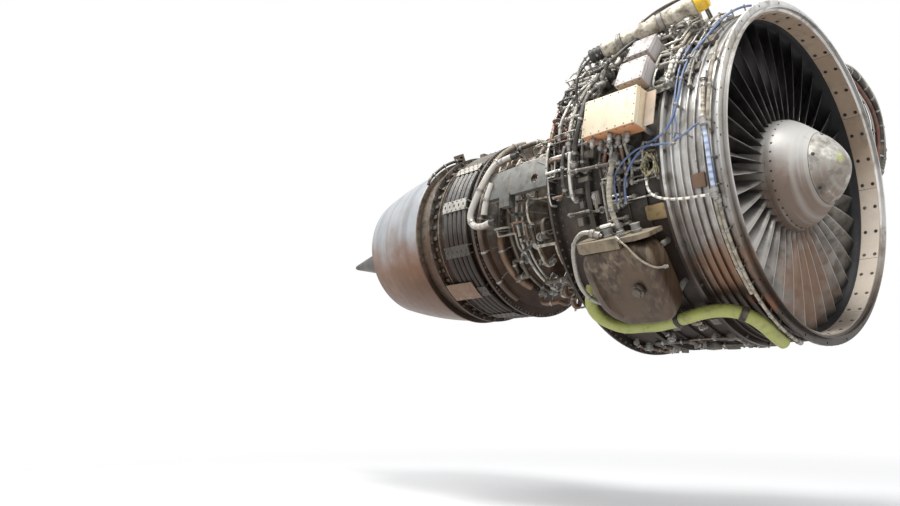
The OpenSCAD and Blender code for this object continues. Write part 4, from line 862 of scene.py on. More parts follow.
# The case's pipes and hoses, on the routes of the part's source
front_line = polar_line([(DUCT_X + 0.25, 58, 0.847), (DUCT_X + 0.256, 75, FRONT_PIPE_R),
                         (DUCT_X + 0.25, 90, FRONT_PIPE_R), (DUCT_X + 0.24, 108, FRONT_PIPE_R),
                         (DUCT_X + 0.24, 124, FRONT_PIPE_R), (DUCT_X + 0.244, 138, FRONT_PIPE_R)])
side_line = polar_line([
    (DUCT_X + 0.19, 20, PIPE_R), (DUCT_X + 0.18, 50, PIPE_R), (DUCT_X + 0.1, 60, PIPE_R),
    (DUCT_X + 0.1, 84, PIPE_R), (DUCT_X - 0.08, 88, PIPE_R), (DUCT_X - 0.18, 95, PIPE_R),
    (DUCT_X - 0.19, 104, PIPE_R)])
piece("front_wrapped_pipe", "casing", FRONT_WRAP, [tube(front_line, 0.008, 14)], ["case_pipes"])
piece("front_pipe_clips", "casing", STEEL, [
    clips(front_line, 0.008, 0.16), clips(side_line, 0.0056, 0.13)])
piece("blue_main_sleeve", "casing", BLUE, [tube(side_line, 0.0056, 10)])
hose_line = polar_line([
    (DUCT_X - 0.36, 148, 0.847), (DUCT_X - 0.31, 148, 0.849), (DUCT_X - 0.2, 146.5, 0.851),
    (DUCT_X + 0.01, 142.5, 0.853), (DUCT_X + 0.15, 143, 0.861), (DUCT_X + 0.217, 149, 0.861),
    (DUCT_X + 0.217, 162, 0.8585)])
piece("drain_hose", "casing", GREEN, [tube(hose_line, 0.03, 28)], ["lower_hose"])
piece("drain_hose_bands", "casing", DARK_BOLT, [
    bands(hose_line, 0.03, 0.34, 0.024, 0.2), bands(hose_line, 0.0305, 0.34, 0.008, 0.21)])
rear_hose = polar_line([(DUCT_X - 0.36, 148, 0.847), (-0.77, 147, 0.86), (-0.825, 144.4, 0.86),
                        (-0.867, 141, 0.86), (-0.874, 137, 0.86), (-0.865, 134, 0.85), (-0.85, 130, 0.80)])
piece("drain_hose_rear", "casing", GREEN, [tube(rear_hose, 0.0295, 28)])
piece("drain_hose_posts", "casing", STEEL, [
    posts([DUCT_X - 0.355, DUCT_X + 0.217], [148, 160], 0.78, 0.83, 0.01)])
far_stops = [(0.06, -30), (-0.06, -32), (-0.15, -38), (-0.33, -40)]
far = [polar_line([(DUCT_X + x, theta - 4 * i, PIPE_R + 0.02 * i) for x, theta in far_stops])
       for i in range(3)]
far.append(polar_line([(DUCT_X + 0.217, -28, 0.877), (DUCT_X + 0.217, -40, 0.957),
                       (DUCT_X + 0.21, -50, 0.897), (DUCT_X + 0.179, -56, PIPE_R)]))
piece("far_side_pipes", "casing", PIPE,
      [tube(run, 0.008, 12) for run in far[:3]] + [tube(far[3], 0.017, 16)],
      ["side_pipes"])
piece("far_side_clips", "casing", STEEL,
      [clips(run, 0.008, 0.16) for run in far[:3]] + [clips(far[3], 0.017, 0.12)])
core_line = polar_line([(HPT_X, 20, 0.545), (HPT_X - 0.01, 55, 0.56), (HPT_X - 0.006, 80, 0.545),
                        (HPT_X - 0.02, 98, 0.57), (HPT_X - 0.02, 120, 0.57), (HPT_X, 150, 0.55)])
piece("core_air_pipe", "casing", CORE_PIPE, [tube(core_line, 0.0175, 16)], ["core_pipes"])
piece("core_pipe_bands", "casing", STEEL, [clips(core_line, 0.0178, 0.2, 0.43)])


# Harness and pipes that the photograph shows on the case
def end_headings(line):
    """Unit directions in which a line leaves at its two ends."""
    return unit(np.array([line[0] - line[2], line[-1] - line[-3]]))


def line_piece(name, finish, stops, radius, clip_step=0.12, skin_r=CASE_R, ends=True):
    """A run of pipe or cable on stops of (x, theta, r), its clips to the skin, and a connector at each
    end."""
    line = polar_line(stops)
    piece(name, "casing", finish, [tube(line, radius, 10 if radius < 0.012 else 16)])
    parts = [clips(line, radius, clip_step, skin_r)] if clip_step else []
    if ends:
        d = max(radius * 3.0, 0.014)
        heading = end_headings(line)
        parts.append(repeated(plug_body(d, d * 2.0), line[[0, -1]] - heading * d * 0.9, heading))
    if parts:
        piece(name + "_fittings", "casing", STEEL, parts)


line_piece("blue_upper", BLUE, [
    (-0.215, 42.7, 0.83), (-0.205, 51.8, 0.83), (-0.223, 59, 0.83), (-0.216, 69.4, 0.83),
    (-0.21, 79.1, 0.83), (-0.191, 85.9, 0.83), (-0.219, 88.9, 0.835)], 0.0042, 0.14)
line_piece("blue_lower", BLUE, [
    (-0.21, 89.3, 0.838), (-0.362, 87.5, 0.842), (-0.429, 89.6, 0.85), (-0.493, 92.9, 0.855),
    (-0.522, 96, 0.85), (-0.516, 104, 0.85)], 0.0048, 0.2)
line_piece("blue_front", BLUE, [
    (-0.205, 88.5, 0.835), (-0.144, 87.7, 0.845), (-0.079, 85.6, 0.85), (-0.05, 86.5, 0.852),
    (-0.036, 91, 0.846), (-0.034, 97, 0.842), (-0.034, 105.5, 0.84)], 0.0046, 0.12)
line_piece("front_wrap_pale", BLUE_PALE, [
    (-0.048, 86, 0.862), (-0.036, 92, 0.862), (-0.034, 99, 0.862), (-0.036, 106, 0.86)], 0.009, 0)
line_piece("front_harness", BEIGE_WRAP, [
    (-0.075, 70, 0.832), (-0.07, 76, 0.836), (-0.06, 81, 0.84), (-0.052, 88, 0.84)], 0.010, 0.1)
line_piece("front_lower_harness", FRONT_WRAP, [
    (-0.036, 108, 0.838), (-0.036, 116, 0.842), (-0.034, 124, 0.84), (-0.036, 132, 0.838),
    (-0.034, 141, 0.838), (-0.036, 152, 0.838), (-0.034, 166, 0.838)], 0.0075, 0.09)
line_piece("white_loop", WHITE_WRAP, [
    (-0.356, 97.5, 0.835), (-0.352, 100.5, 0.848), (-0.331, 103.2, 0.852), (-0.271, 105, 0.852),
    (-0.207, 105.8, 0.852), (-0.135, 106.2, 0.85), (-0.053, 106.3, 0.842)], 0.0058, 0)
line_piece("cream_riser", CREAM_HOSE, [
    (-0.507, 89.5, 0.85), (-0.509, 91.9, 0.87), (-0.521, 96, 0.876), (-0.536, 100, 0.876),
    (-0.538, 104.2, 0.876), (-0.531, 107.9, 0.875), (-0.52, 110.8, 0.875)], 0.0125, 0.16)
line_piece("brown_cross_pipe", PIPE_DARK, [
    (-0.77, 90, 0.84), (-0.755, 90, 0.86), (-0.647, 90.4, 0.86), (-0.518, 90.9, 0.86), (-0.50, 91, 0.85)],
    0.0085, 0.12)
line_piece("black_hose_left", BLACK, [
    (-0.66, 60, 0.86), (-0.677, 66, 0.9), (-0.674, 73.6, 0.905), (-0.69, 79, 0.9), (-0.72, 84, 0.88),
    (-0.75, 88, 0.84)], 0.012, 0.16)
line_piece("tank_vent_hose", BRAID, [
    (-0.60, 110.5, 0.95), (-0.65, 109.2, 0.955), (-0.70, 110.2, 0.955), (-0.742, 113.2, 0.955),
    (-0.765, 118, 0.953), (-0.785, 123.5, 0.95), (-0.79, 129, 0.93), (-0.78, 134, 0.88),
    (-0.76, 138, 0.82)], 0.0115, 0.3)
line_piece("tank_side_pipe", PIPE_TAN, [
    (-0.45, 112.4, 1.0), (-0.41, 114.6, 1.008), (-0.386, 116.4, 1.014), (-0.364, 118.2, 1.013),
    (-0.338, 120, 1.004), (-0.316, 121.5, 0.985), (-0.305, 122.5, 0.94)], 0.0048, 0)
line_piece("left_riser_a", PIPE, [
    (-0.86, 76, 0.84), (-0.855, 71.7, 0.86), (-0.832, 66.8, 0.862), (-0.817, 61.2, 0.862),
    (-0.762, 57, 0.86), (-0.70, 52, 0.85)], 0.007, 0.11)
line_piece("left_riser_b", BRAID, [
    (-0.80, 80, 0.83), (-0.79, 74, 0.85), (-0.775, 67, 0.855), (-0.75, 61, 0.86), (-0.70, 56, 0.87)],
    0.010, 0.1)
line_piece("box_feed", BLACK, [
    (-0.614, 58.5, 0.9), (-0.58, 55.5, 0.93), (-0.53, 58, 0.95), (-0.498, 56, 0.955),
    (-0.462, 48.2, 0.93), (-0.43, 44, 0.9)], 0.0085, 0.2)
for i, (x, theta) in enumerate([(-0.44, 84.5), (-0.46, 84.8), (-0.485, 84.3), (-0.51, 85), (-0.54, 84.6)]):
    line_piece(f"box_drop_{i}", [BRAID, PIPE_BROWN, BLACK, PIPE, RED][i], [
        (x, theta - 1.5, 0.88), (x, theta + 1.5, 0.865), (x - 0.01 * i, theta + 5, 0.835),
        (x - 0.012 * i, theta + 9, 0.815), (x - 0.01 - 0.012 * i, theta + 12, 0.81)],
               0.0075 + 0.001 * (i % 2), 0.1)


def wander(rng, box, legs, low, high):
    """A route that turns square corners: in turn a leg along the shaft and a leg round it, each of random
    length, kept inside a box of (x0, x1, theta0, theta1) and between two radii."""
    x0, x1, t0, t1 = box
    x, t = rng.uniform(x0, x1), rng.uniform(t0, t1)
    sunk = low - 0.006
    stops = [(x, t, sunk)]
    along = rng.random() < 0.5
    for _ in range(legs):
        r = rng.uniform(low, high)
        stops.append((x, t, r))
        if along:
            x = float(np.clip(x + rng.choice([-1, 1]) * rng.uniform(0.06, 0.24), x0, x1))
        else:
            t = float(np.clip(t + rng.choice([-1, 1]) * rng.uniform(4, 16), t0, t1))
        along = not along
        stops.append((x, t, r))
    stops.append((x, t, sunk))
    return stops


def clutter(name, seed, box, count, low, high, finishes, sizes, skin_r=CASE_R, legs=3, clip_step=0.11):
    """A field of small pipes, cables and harness runs on a stretch of the engine, one piece to each finish,
    with all their clips as one more."""
    rng = np.random.default_rng(seed)
    runs = {}
    fittings = []
    for i in range(count):
        line = polar_line(wander(rng, box, legs, low, high))
        r = float(rng.choice(sizes))
        runs.setdefault(i % len(finishes), []).append(tube(line, r, 8 if r < 0.008 else 12))
        fittings.append(clips(line, r, clip_step, skin_r))
        heading = end_headings(line)
        fittings.append(repeated(plug_body(3 * r, 6 * r), line[[0, -1]] - heading * 3 * r, heading))
    for k, tubes in runs.items():
        piece(f"{name}_{k}", "casing", finishes[k], tubes)
    piece(f"{name}_fittings", "casing", STEEL, fittings)


clutter("shoulder", 3, (-0.68, -0.31, 27, 50), 26, 0.815, 0.90,
        [PIPE, BRAID, GREY_WRAP, BEIGE_WRAP, PIPE, BLACK], [0.005, 0.007, 0.009, 0.013])
clutter("shoulder_pale", 31, (-0.37, -0.24, 40, 69), 22, 0.812, 0.87,
        [PIPE, BEIGE_WRAP, WHITE_WRAP, BRAID], [0.005, 0.007, 0.010], legs=4)
clutter("shoulder_rear", 5, (-0.92, -0.72, 30, 62), 18, 0.812, 0.88, [PIPE, BRAID, GREY_WRAP, BLACK],
        [0.005, 0.007, 0.011])
clutter("rear_side", 8, (-0.92, -0.63, 62, 104), 18, 0.808, 0.86,
        [PIPE_DARK, BRAID, PIPE, BLACK, PIPE_BROWN], [0.004, 0.006, 0.009])
clutter("under_box", 11, (-0.60, -0.31, 86, 110), 12, 0.806, 0.84, [PIPE_DARK, PIPE, BRAID], [0.004, 0.006])
clutter("upper_front", 14, (-0.27, -0.16, 24, 70), 6, 0.808, 0.85, [PIPE, BRAID, BEIGE_WRAP, GREY_WRAP],
        [0.004, 0.006, 0.008])
clutter("belly", 17, (-0.90, -0.32, 146, 205), 18, 0.80, 0.815, [PIPE_DARK, PIPE_BROWN, BLACK],
        [0.006, 0.008, 0.011])
clutter("far_side", 20, (-0.88, -0.08, -96, -20), 26, 0.815, 0.90,
        [PIPE, BRAID, RED, GREY_WRAP, PIPE_DARK], [0.005, 0.007, 0.011])
clutter("crown", 23, (-0.90, -0.10, -20, 26), 18, 0.798, 0.812, [PIPE, BRAID, GREY_WRAP, PIPE_DARK],
        [0.005, 0.007, 0.010])
clutter("core_side", 26, (-1.62, -0.99, 10, 175), 30, 0.45, 0.56, [PIPE_DARK, LAGGING, PIPE_BROWN, BRAID],
        [0.006, 0.009, 0.014], CORE_SKIN_R, 4, 0.14)
clutter("core_far", 29, (-1.62, -0.99, -170, 5), 22, 0.45, 0.56, [PIPE_DARK, LAGGING, PIPE],
        [0.006, 0.009, 0.014], CORE_SKIN_R, 4, 0.16)


# Boxes and vessels
def boxed(name, finish, x, theta, r, size, corner, edge, stands_for, screws, turn=0.0, slot=None):
    """A closed box standing out from the shaft, with a lid line, and screws round its outer face and
    sides."""
    width, depth, height = size
    body = set_at(block(width, depth, height, corner, edge), x, theta, r, turn)
    lid = set_at(block(width + 0.003, depth + 0.003, 0.005, corner, 0.0015, height * 0.72), x, theta, r, turn)
    piece(name, "casing", finish, [body, lid], stands_for)
    origin, axes = seat_at(x, theta, r)
    nx, ny = screws
    u = np.concatenate([np.linspace(-1, 1, nx), np.linspace(-1, 1, nx), np.full(ny, -1.0),
                        np.full(ny, 1.0)]) * (width / 2 - 0.01)
    v = np.concatenate([np.full(nx, -1.0), np.full(nx, 1.0), np.linspace(-0.6, 0.6, ny),
                        np.linspace(-0.6, 0.6, ny)]) * (depth / 2 - 0.01)
    top = origin + u[:, None] * axes[0] + v[:, None] * axes[1] + height * axes[2]
    edge_x = np.linspace(-1, 1, nx) * (width / 2 - 0.015)
    low = origin + edge_x[:, None] * axes[0] - (depth / 2 + 0.001) * axes[1] + height * 0.86 * axes[2]
    high = origin + edge_x[:, None] * axes[0] + (depth / 2 + 0.001) * axes[1] + height * 0.86 * axes[2]
    piece(name + "_screws", "casing", BOLT, [
        repeated(flat_screw(0.008), top - 0.0004 * axes[2], axes[2]),
        repeated(flat_screw(0.007), low, -axes[1]), repeated(flat_screw(0.007), high, axes[1])])


def feet(name, x, theta, high, xs, ys, size):
    """Legs of a box: small blocks from below the case's skin up to the box's foot at radius high."""
    low = CASE_R - 0.02
    origin, axes = seat_at(x, theta, 0.0)
    leg = block(size, size, high - low, 0.002, 0.001)
    piece(name, "casing", STEEL, [
        placed(leg, origin + dx * axes[0] + dy * axes[1] + low * axes[2], axes) for dx in xs for dy in ys])


boxed("control_unit", CREAM, *CONTROL_PLACE, (0.292, 0.188, 0.090), 0.006, 0.003, ["control_box"],
      (7, 3), slot="cream_paint")
feet("control_unit_legs", *CONTROL_PLACE, (-0.074, 0.124), (-0.072, 0.072), 0.016)
side = set_at(block(0.054, 0.168, 0.005, 0.003, 0.001, 0.02), -0.299, *CONTROL_PLACE[1:])
piece("control_unit_side_plate", "casing", PANEL, [side])
boxed("exciter_lower", EXCITER, DUCT_X - 0.108, 65, EXCITER_FOOT_R, (0.148, 0.134, 0.074), 0.006, 0.003,
      ["ignition_boxes"], (4, 2), slot="exciter_paint")
boxed("exciter_upper", EXCITER, DUCT_X - 0.106, 54.8, EXCITER_FOOT_R, (0.122, 0.120, 0.074), 0.006, 0.003,
      (), (4, 2), slot="exciter_paint")
feet("exciter_lower_legs", DUCT_X - 0.095, 65, EXCITER_FOOT_R, (-0.057, 0.039), (-0.054, 0.054), 0.014)
feet("exciter_upper_legs", DUCT_X - 0.095, 54.5, EXCITER_FOOT_R, (-0.057, 0.039), (-0.046, 0.046), 0.014)

origin, axes = seat_at(*CONTROL_PLACE)
box_side = -0.094
connectors = []
for x, lift in [(-0.08, 0.03), (-0.03, 0.03), (0.02, 0.03), (0.07, 0.03), (-0.1, 0.06), (0.0, 0.062)]:
    at = origin + x * axes[0] + box_side * axes[1] + lift * axes[2]
    connectors.append(repeated(plug_body(0.022, 0.05), at, -axes[1]))
piece("control_unit_connectors", "casing", STEEL, connectors)

duct_a = around(DUCT_X - 0.41, 51, CASE_R + 0.165)
duct_b = around(DUCT_X + 0.10, 41, CASE_R + 0.158)
ahead = unit(duct_b - duct_a)
share = np.linspace(0.12, 1, 90)
line = duct_a + share[:, None] * (duct_b - duct_a)
dents = 0.002 * (np.sin(share * 31) > 0.96)
swell = 0.037 + 0.0022 * np.sin(share * 41) + 0.0016 * np.sin(share * 97 + 1) - dents
mouth = tube(np.array([line[0], line[0] + 0.002 * ahead]), 0.0385, 32)
piece("insulated_duct", "casing", LAGGING, [tube(line, swell, 36), mouth], ["top_duct"])
sleeve_line = duct_a + np.linspace(-0.006, 0.075, 12)[:, None] * ahead
sleeve_r = 0.034 + 0.0025 * np.sin(np.arange(12) * 2.1)
piece("duct_end_sleeve", "casing", BLACK, [tube(sleeve_line, sleeve_r, 28)])
line_piece("duct_end_cable_a", BLACK, [
    (-0.655, 51.5, 0.955), (-0.70, 52.5, 0.955), (-0.735, 56, 0.95), (-0.75, 60, 0.93), (-0.76, 64, 0.89),
    (-0.765, 68, 0.83)], 0.0065, 0.2)
line_piece("duct_end_cable_b", BRAID, [
    (-0.655, 50.2, 0.965), (-0.705, 49.5, 0.965), (-0.75, 50.5, 0.955), (-0.79, 53, 0.93),
    (-0.81, 57, 0.88), (-0.815, 60, 0.82)], 0.005, 0.2)
line_piece("duct_top_pipe_a", PIPE_DARK, [
    (-0.46, 42.4, 0.972), (-0.38, 40.4, 0.99), (-0.29, 38.2, 0.992), (-0.22, 36.6, 0.98),
    (-0.195, 35.6, 0.94), (-0.19, 34.8, 0.82)], 0.0055, 0)
line_piece("duct_top_pipe_b", PIPE_DARK, [
    (-0.40, 39.4, 0.975), (-0.32, 37.4, 0.985), (-0.25, 35.4, 0.985), (-0.225, 33.4, 0.95),
    (-0.22, 32.4, 0.82)], 0.0045, 0)
saddles = []
for x in (DUCT_X - 0.06, DUCT_X - 0.26):
    middle = duct_a + (duct_b - duct_a) * (x - duct_a[0]) / (duct_b[0] - duct_a[0])
    saddles.append(rods(outward(middle) * (CASE_R - 0.004) + [x, 0, 0], middle, 0.009, 12))
    saddles.append(repeated(collar(0.039, 0.0425, 0.01, 30), middle, ahead))
piece("duct_saddles", "casing", STEEL, saddles)
cap_form = turned([(0.039, 0), (0.042, 0.002), (0.042, 0.008), (0.0405, 0.01), (0.0405, 0.04),
                   (0.039, 0.045), (0.034, 0.047), (0.034, 0.054), (0.031, 0.0565)], 40)
piece("duct_end_cap", "casing", YELLOW, [repeated(cap_form, duct_b, ahead)], ["duct_cap"])


def tank_shell(rows=34, columns=72):
    """The oil tank's skin. Each ring is a rounded outline in x and theta, drawn in toward the case face and
    the outer face; the point (x, s, h) bends to theta = centre - s / bend radius and radius = foot + h."""
    centre_x, centre_theta, bend_r, foot_r, depth = -0.512, 126.2, 0.93, 0.848, 0.151
    t = np.linspace(0, 1, rows)
    fall = (1 - np.abs(2 * t - 1)**5)**0.5
    a = np.linspace(0, 2 * np.pi, columns, endpoint=False)
    ex, ey = rounded(a, 0.42)
    low = np.clip(-ey, 0, 1)
    half_x = 0.196 - 0.035 * low**2
    x = centre_x + ex * half_x * (0.72 + 0.28 * fall[:, None])
    s = ey * (0.198 + 0.012 * low) * (0.80 + 0.20 * fall[:, None])
    theta = centre_theta - np.degrees(s / bend_r)
    h = depth * t[:, None] * (1 - 0.16 * low**2) + 0.002 * np.sin(ex * 9)
    return shell(around(x, theta, foot_r + h))


band = turned_x([(-0.45, 0.846), (-0.45, 1.0045), (-0.655, 1.0045), (-0.712, 0.962), (-0.712, 0.846)],
                8, 112, 2.9)
lip = turned_x([(-0.318, 0.85), (-0.318, 0.955), (-0.365, 1.001), (-0.648, 1.001), (-0.706, 0.958),
                (-0.706, 0.85)], 8, 112.3, 1.3)
piece("oil_vessel", "casing", TANK, [tank_shell()], ["oil_tank"], 50)
piece("oil_vessel_band", "casing", BAND, [band, lip])
legs = [posts(x, a, POST_FOOT_R, 0.86, 0.014, 12)
        for x in (DUCT_X - 0.06, DUCT_X - 0.255) for a in (118, 133)]
piece("oil_vessel_feet", "casing", STEEL, legs)


def on_tank_top(out, forward, lift=0.0):
    """A place on the tank's upper side: out and forward from its lower rear corner, lifted off it."""
    origin, axes = seat_at(-0.71 + forward, 112, 0.847 + out)
    return origin + lift * axes[1], axes[1]


fittings = []
for out, forward, d, h in [(0.075, 0.16, 0.048, 0.044), (0.06, 0.30, 0.040, 0.040),
                           (0.11, 0.25, 0.028, 0.024), (0.04, 0.09, 0.05, 0.03)]:
    base, up = on_tank_top(out, forward, -0.004)
    form = [(0.62, 0), (0.62, 0.012), (0.5, 0.014), (0.5, h - 0.006), (0.56, h - 0.005), (0.56, h)]
    fittings.append(repeated(turned([(r * d, z) for r, z in form], 20), base, up))
piece("oil_vessel_fittings", "casing", CAST, fittings)
base, up = on_tank_top(0.075, 0.16, 0.0445)
origin, axes = seat_at(-0.55, 112, 0.922)
lid_form = turned([(0.026, 0), (0.028, 0.002), (0.028, 0.010), (0.026, 0.012), (0.012, 0.0125)], 28)
lid = repeated(lid_form, base, up)
top_axes = np.array([axes[0], -axes[2], axes[1]])
tongue = placed(block(0.024, 0.012, 0.007, 0.002, 0.001), base - 0.032 * axes[0], top_axes)
tab = placed(block(0.026, 0.011, 0.006, 0.003, 0.001, 0.002), base + 0.035 * axes[0], top_axes)
ears = [placed(block(0.014, 0.0044, 0.0193, 0.001, 0.0006), origin + (-0.039, y, 0.034) @ top_axes, top_axes)
        for y in (-0.0098, 0.0098)]
hinge_leaf = block(0.032, 0.024, 0.012, 0.002, 0.001)
ears.append(placed(hinge_leaf, origin + (-0.030, 0, 0.024) @ top_axes, top_axes))
pin_ends = [origin + (-0.038, y, 0.0483) @ top_axes for y in (-0.0135, 0.0135)]
ears.append(rods(*pin_ends, 0.003, 12))
piece("oil_cap_hinge", "casing", CAST, ears)
piece("oil_cap", "tank_lid", WHITE, [lid, tongue, tab], ["tank_cap"])

boss_form = turned([(0.03, -0.01), (0.03, 0.004), (0.02, 0.006), (0.02, 0.016), (0.012, 0.02)], 24)
boss_bolts = faced_out(hex_bolt(0.006), [-0.45 + 0.024, -0.45 - 0.024, -0.45, -0.45],
                       [127, 127, 125.6, 128.4], 0.999)
piece("tank_drain_boss", "casing", PIPE_DARK, [faced_out(boss_form, -0.45, 127, 0.995), boss_bolts])

# Plates, pads and a folded harness bundle on the case
plates = []
rng = np.random.default_rng(41)
for box, count, skin in [((-0.9, -0.3, 28, 60), 26, CASE_R), ((-0.9, -0.62, 62, 108), 22, CASE_R),
                         ((-0.6, -0.3, 86, 110), 10, CASE_R), ((-0.26, -0.08, 26, 66), 10, CASE_R),
                         ((-0.88, -0.1, -95, 20), 40, CASE_R), ((-0.88, -0.3, 146, 200), 16, CASE_R)]:
    for _ in range(count):
        w, d, h = rng.uniform(0.02, 0.07), rng.uniform(0.015, 0.05), rng.uniform(0.01, 0.045)
        x, theta, turn = rng.uniform(box[0], box[1]), rng.uniform(box[2], box[3]), rng.choice([0, 90, 0, 20])
        if not (-0.45 < x < -0.26 and 99 < theta < 116):
            plates.append(set_at(block(w, d, h + 0.008, 0.003, 0.0015, -0.008), x, theta, skin, turn))
piece("case_brackets", "casing", BRACKET, plates)
brown_pad = block(0.062, 0.062, 0.011, 0.006, 0.002, -0.003)
piece("brown_pad", "casing", PIPE_BROWN, [set_at(brown_pad, -0.126, 101.6, 0.801)])
tan_pad = block(0.112, 0.07, 0.032, 0.012, 0.01, -0.004)
piece("tan_pad", "casing", TAN_PAD, [set_at(tan_pad, -0.352, 108.2, CASE_R)])
loops = []
for k in range(15):
    w = rng.uniform(-1, 1, 8)
    phi = np.linspace(0, 2 * np.pi * 1.12, 26) + 1.3 * k
    wobble = 0.16 * np.sin(3 * phi + 6 * w[0]) + 0.1 * np.sin(5 * phi + 6 * w[1])
    x = -0.338 + (0.030 + 0.010 * w[2]) * (1 + wobble) * np.cos(phi)
    theta = 93.6 + (3.0 + 0.9 * w[3]) * (1 + wobble) * np.sin(phi)
    r = 0.822 + 0.012 * w[4] + 0.012 * np.sin(2 * phi + 6 * w[5])
    loops.append(tube(around(x, theta, r), 0.0034, 8))
piece("harness_bundle", "casing", OLIVE_WRAP, loops)
piece("harness_bundle_ties", "casing", GREY_WRAP, [posts([-0.345, -0.33], [92, 96], CASE_R, 0.838, 0.005)])

piece("rear_edge_plate", "casing", PINK, [hoop(-0.868, -0.934, 0.789, 0.795, 24, 57, 22)])

# Bolts and trim round the flanges
FORWARD, BACK = np.array([1.0, 0, 0]), np.array([-1.0, 0, 0])
rear = around(REAR_X + 0.014, 3.1 * np.arange(116), 0.817)
piece("rear_flange_bolts", "casing", BOLT, [repeated(hex_bolt(0.0065), rear, FORWARD)])
lip = 360 / 90 * np.arange(90) + 2
piece("front_flange_rivets", "casing", BOLT, [
    repeated(flat_screw(0.007), around(-0.0136, lip, 0.806), BACK),
    faced_out(flat_screw(0.006), -0.007, lip + 2, 0.8246)])
ring_at = np.array([(4 + 30 * (i + share), x) for i in range(12) for share in (0.06, 0.4, 0.75)
                    for x in (-0.025, -0.078)])
washers = around(ring_at[:, 1], ring_at[:, 0], PANEL_R)
washer = turned([(0.0062, -0.0004), (0.0092, -0.0004), (0.0090, 0.0008), (0.0062, 0.0008)], 16)
piece("panel_bolt_rings", "casing", DARK_BOLT, [repeated(washer, washers, -outward(washers))])
duct_rivets = np.concatenate([around(x, 3 * np.arange(120) + first, CASE_R - 0.0004)
                              for x, first in [(-0.318, 0), (-0.672, 1.5), (-0.735, 0), (-0.905, 1.5)]])
piece("skin_rivets", "casing", BOLT, [repeated(flat_screw(0.009), duct_rivets, outward(duct_rivets))])

# Core and turbine
tubes = [turned_x([(x + 0.018 * math.cos(t), COOLING_RING_R + COOLING_TUBE_R * math.sin(t))
                   for t in np.linspace(0, 2 * np.pi, 12, endpoint=False)], 150) for x in COOLING_X]
piece("turbine_cooling_tubes", "casing", COOLING, tubes, ["lpt_cooling_tubes"], 60)
# The slots in the straps are dark blocks: the shade in their openings, painted.
strap, strap_slot_shade, studs = [], [], []
for a in 30 * np.arange(12) + 19:
    strap.append(hoop(-1.861, -2.077, STRAP_R - 0.003, STRAP_R, 8, a - STRAP_HALF_ANGLE,
                      2 * STRAP_HALF_ANGLE))
    for x in COOLING_X:
        strap_slot_shade.append(set_at(block(0.010, 0.018, 0.0025, 0.004, 0.001, -0.001), x, a, STRAP_R))
    sides = [a - STUD_HALF_ANGLE, a + STUD_HALF_ANGLE]
    strap += [posts(x, side, 0.505, 0.554, 0.006) for x in (-1.868, -2.07) for side in sides]
    for x in -1.864 - 0.042 * np.arange(6):
        studs.append(around(x, sides, STRAP_R))
piece("turbine_tube_straps", "casing", STRAP, strap)
piece("turbine_strap_slot_shade", "casing", DARK_BOLT, strap_slot_shade)
studs = np.concatenate(studs)
piece("turbine_strap_studs", "casing", BOLT, [repeated(hex_bolt(0.0042), studs, outward(studs))])
for name, x, r, n, side in [("turbine_front_bolts", LPT_X + 0.011, 0.551, 72, FORWARD),
                            ("turbine_rear_bolts", LPT_REAR_X - 0.011, 0.551, 72, BACK),
                            ("burner_rear_bolts", HPT_X + 0.0105, 0.416, 60, FORWARD)]:
    at = around(x, 360 / n * (np.arange(n) + 0.5), r)
    piece(name, "casing", BOLT, [repeated(hex_bolt(0.0062), at, side)])
lugs = []
for x, r in [(LPT_X - 0.03, 0.507), (LPT_REAR_X + 0.035, 0.522)]:
    a = 7.5 * np.arange(48)
    lugs += [set_at(block(0.03, 0.022, 0.024, 0.003, 0.002, -0.005), x, theta, r) for theta in a]
piece("turbine_case_lugs", "casing", HOT, lugs)
rims = [hoop(x + 0.006, x - 0.006, r - 0.006, r, 150)
        for x, r in [(-1.835, 0.520), (-2.13, 0.540), (-2.262, 0.513)]]
piece("turbine_case_rims", "casing", HOT, rims)
piece("turbine_brown_plate", "casing", PIPE_BROWN, [
    hoop(-1.94, -2.18, 0.561, 0.565, 12, 130, 13), posts([-1.96, -2.15], [131.5, 141], 0.51, 0.563, 0.006)])

line_piece("core_insulated_a", CORE_DUCT, [
    (-1.465, 60.7, 0.62), (-1.534, 61.6, 0.62), (-1.607, 63.9, 0.62), (-1.645, 73.4, 0.62),
    (-1.687, 81, 0.62), (-1.731, 88.7, 0.62), (-1.741, 93, 0.62), (-1.711, 97.3, 0.62),
    (-1.644, 98.3, 0.62), (-1.575, 97.2, 0.62)], 0.0195, 0.2, CORE_SKIN_R, False)
# Black rods inside the ducts' open ends: the painted shade of their hollows.
duct_starts = around([-1.53, -1.42], [97.0, 60.7], 0.62)
duct_stops = around([-1.5745, -1.4655], [97.2, 60.7], 0.62)
piece("core_duct_mouth_shade", "casing", BLACK, [rods(duct_starts, duct_stops, 0.0165, 20)])
line_piece("core_insulated_b", CORE_DUCT, [
    (-1.595, 74.2, 0.60), (-1.62, 82.2, 0.60), (-1.641, 91.6, 0.60)], 0.019, 0.2, CORE_SKIN_R, False)
line_piece("core_lower_duct", PIPE_BROWN, [
    (-1.66, 104, 0.46), (-1.655, 114, 0.49), (-1.65, 126, 0.495), (-1.64, 138, 0.49), (-1.62, 150, 0.47)],
    0.022, 0.2, 0.39, False)
line_piece("core_ring_pipe_a", PIPE, [
    (-1.50, 12, 0.45), (-1.50, 40, 0.47), (-1.505, 80, 0.472), (-1.50, 120, 0.47), (-1.50, 160, 0.45)],
    0.009, 0.15, 0.385)
line_piece("core_ring_pipe_b", PIPE_DARK, [
    (-1.58, 16, 0.44), (-1.58, 50, 0.455), (-1.585, 90, 0.455), (-1.58, 130, 0.455), (-1.58, 168, 0.44)],
    0.012, 0.2, 0.385)
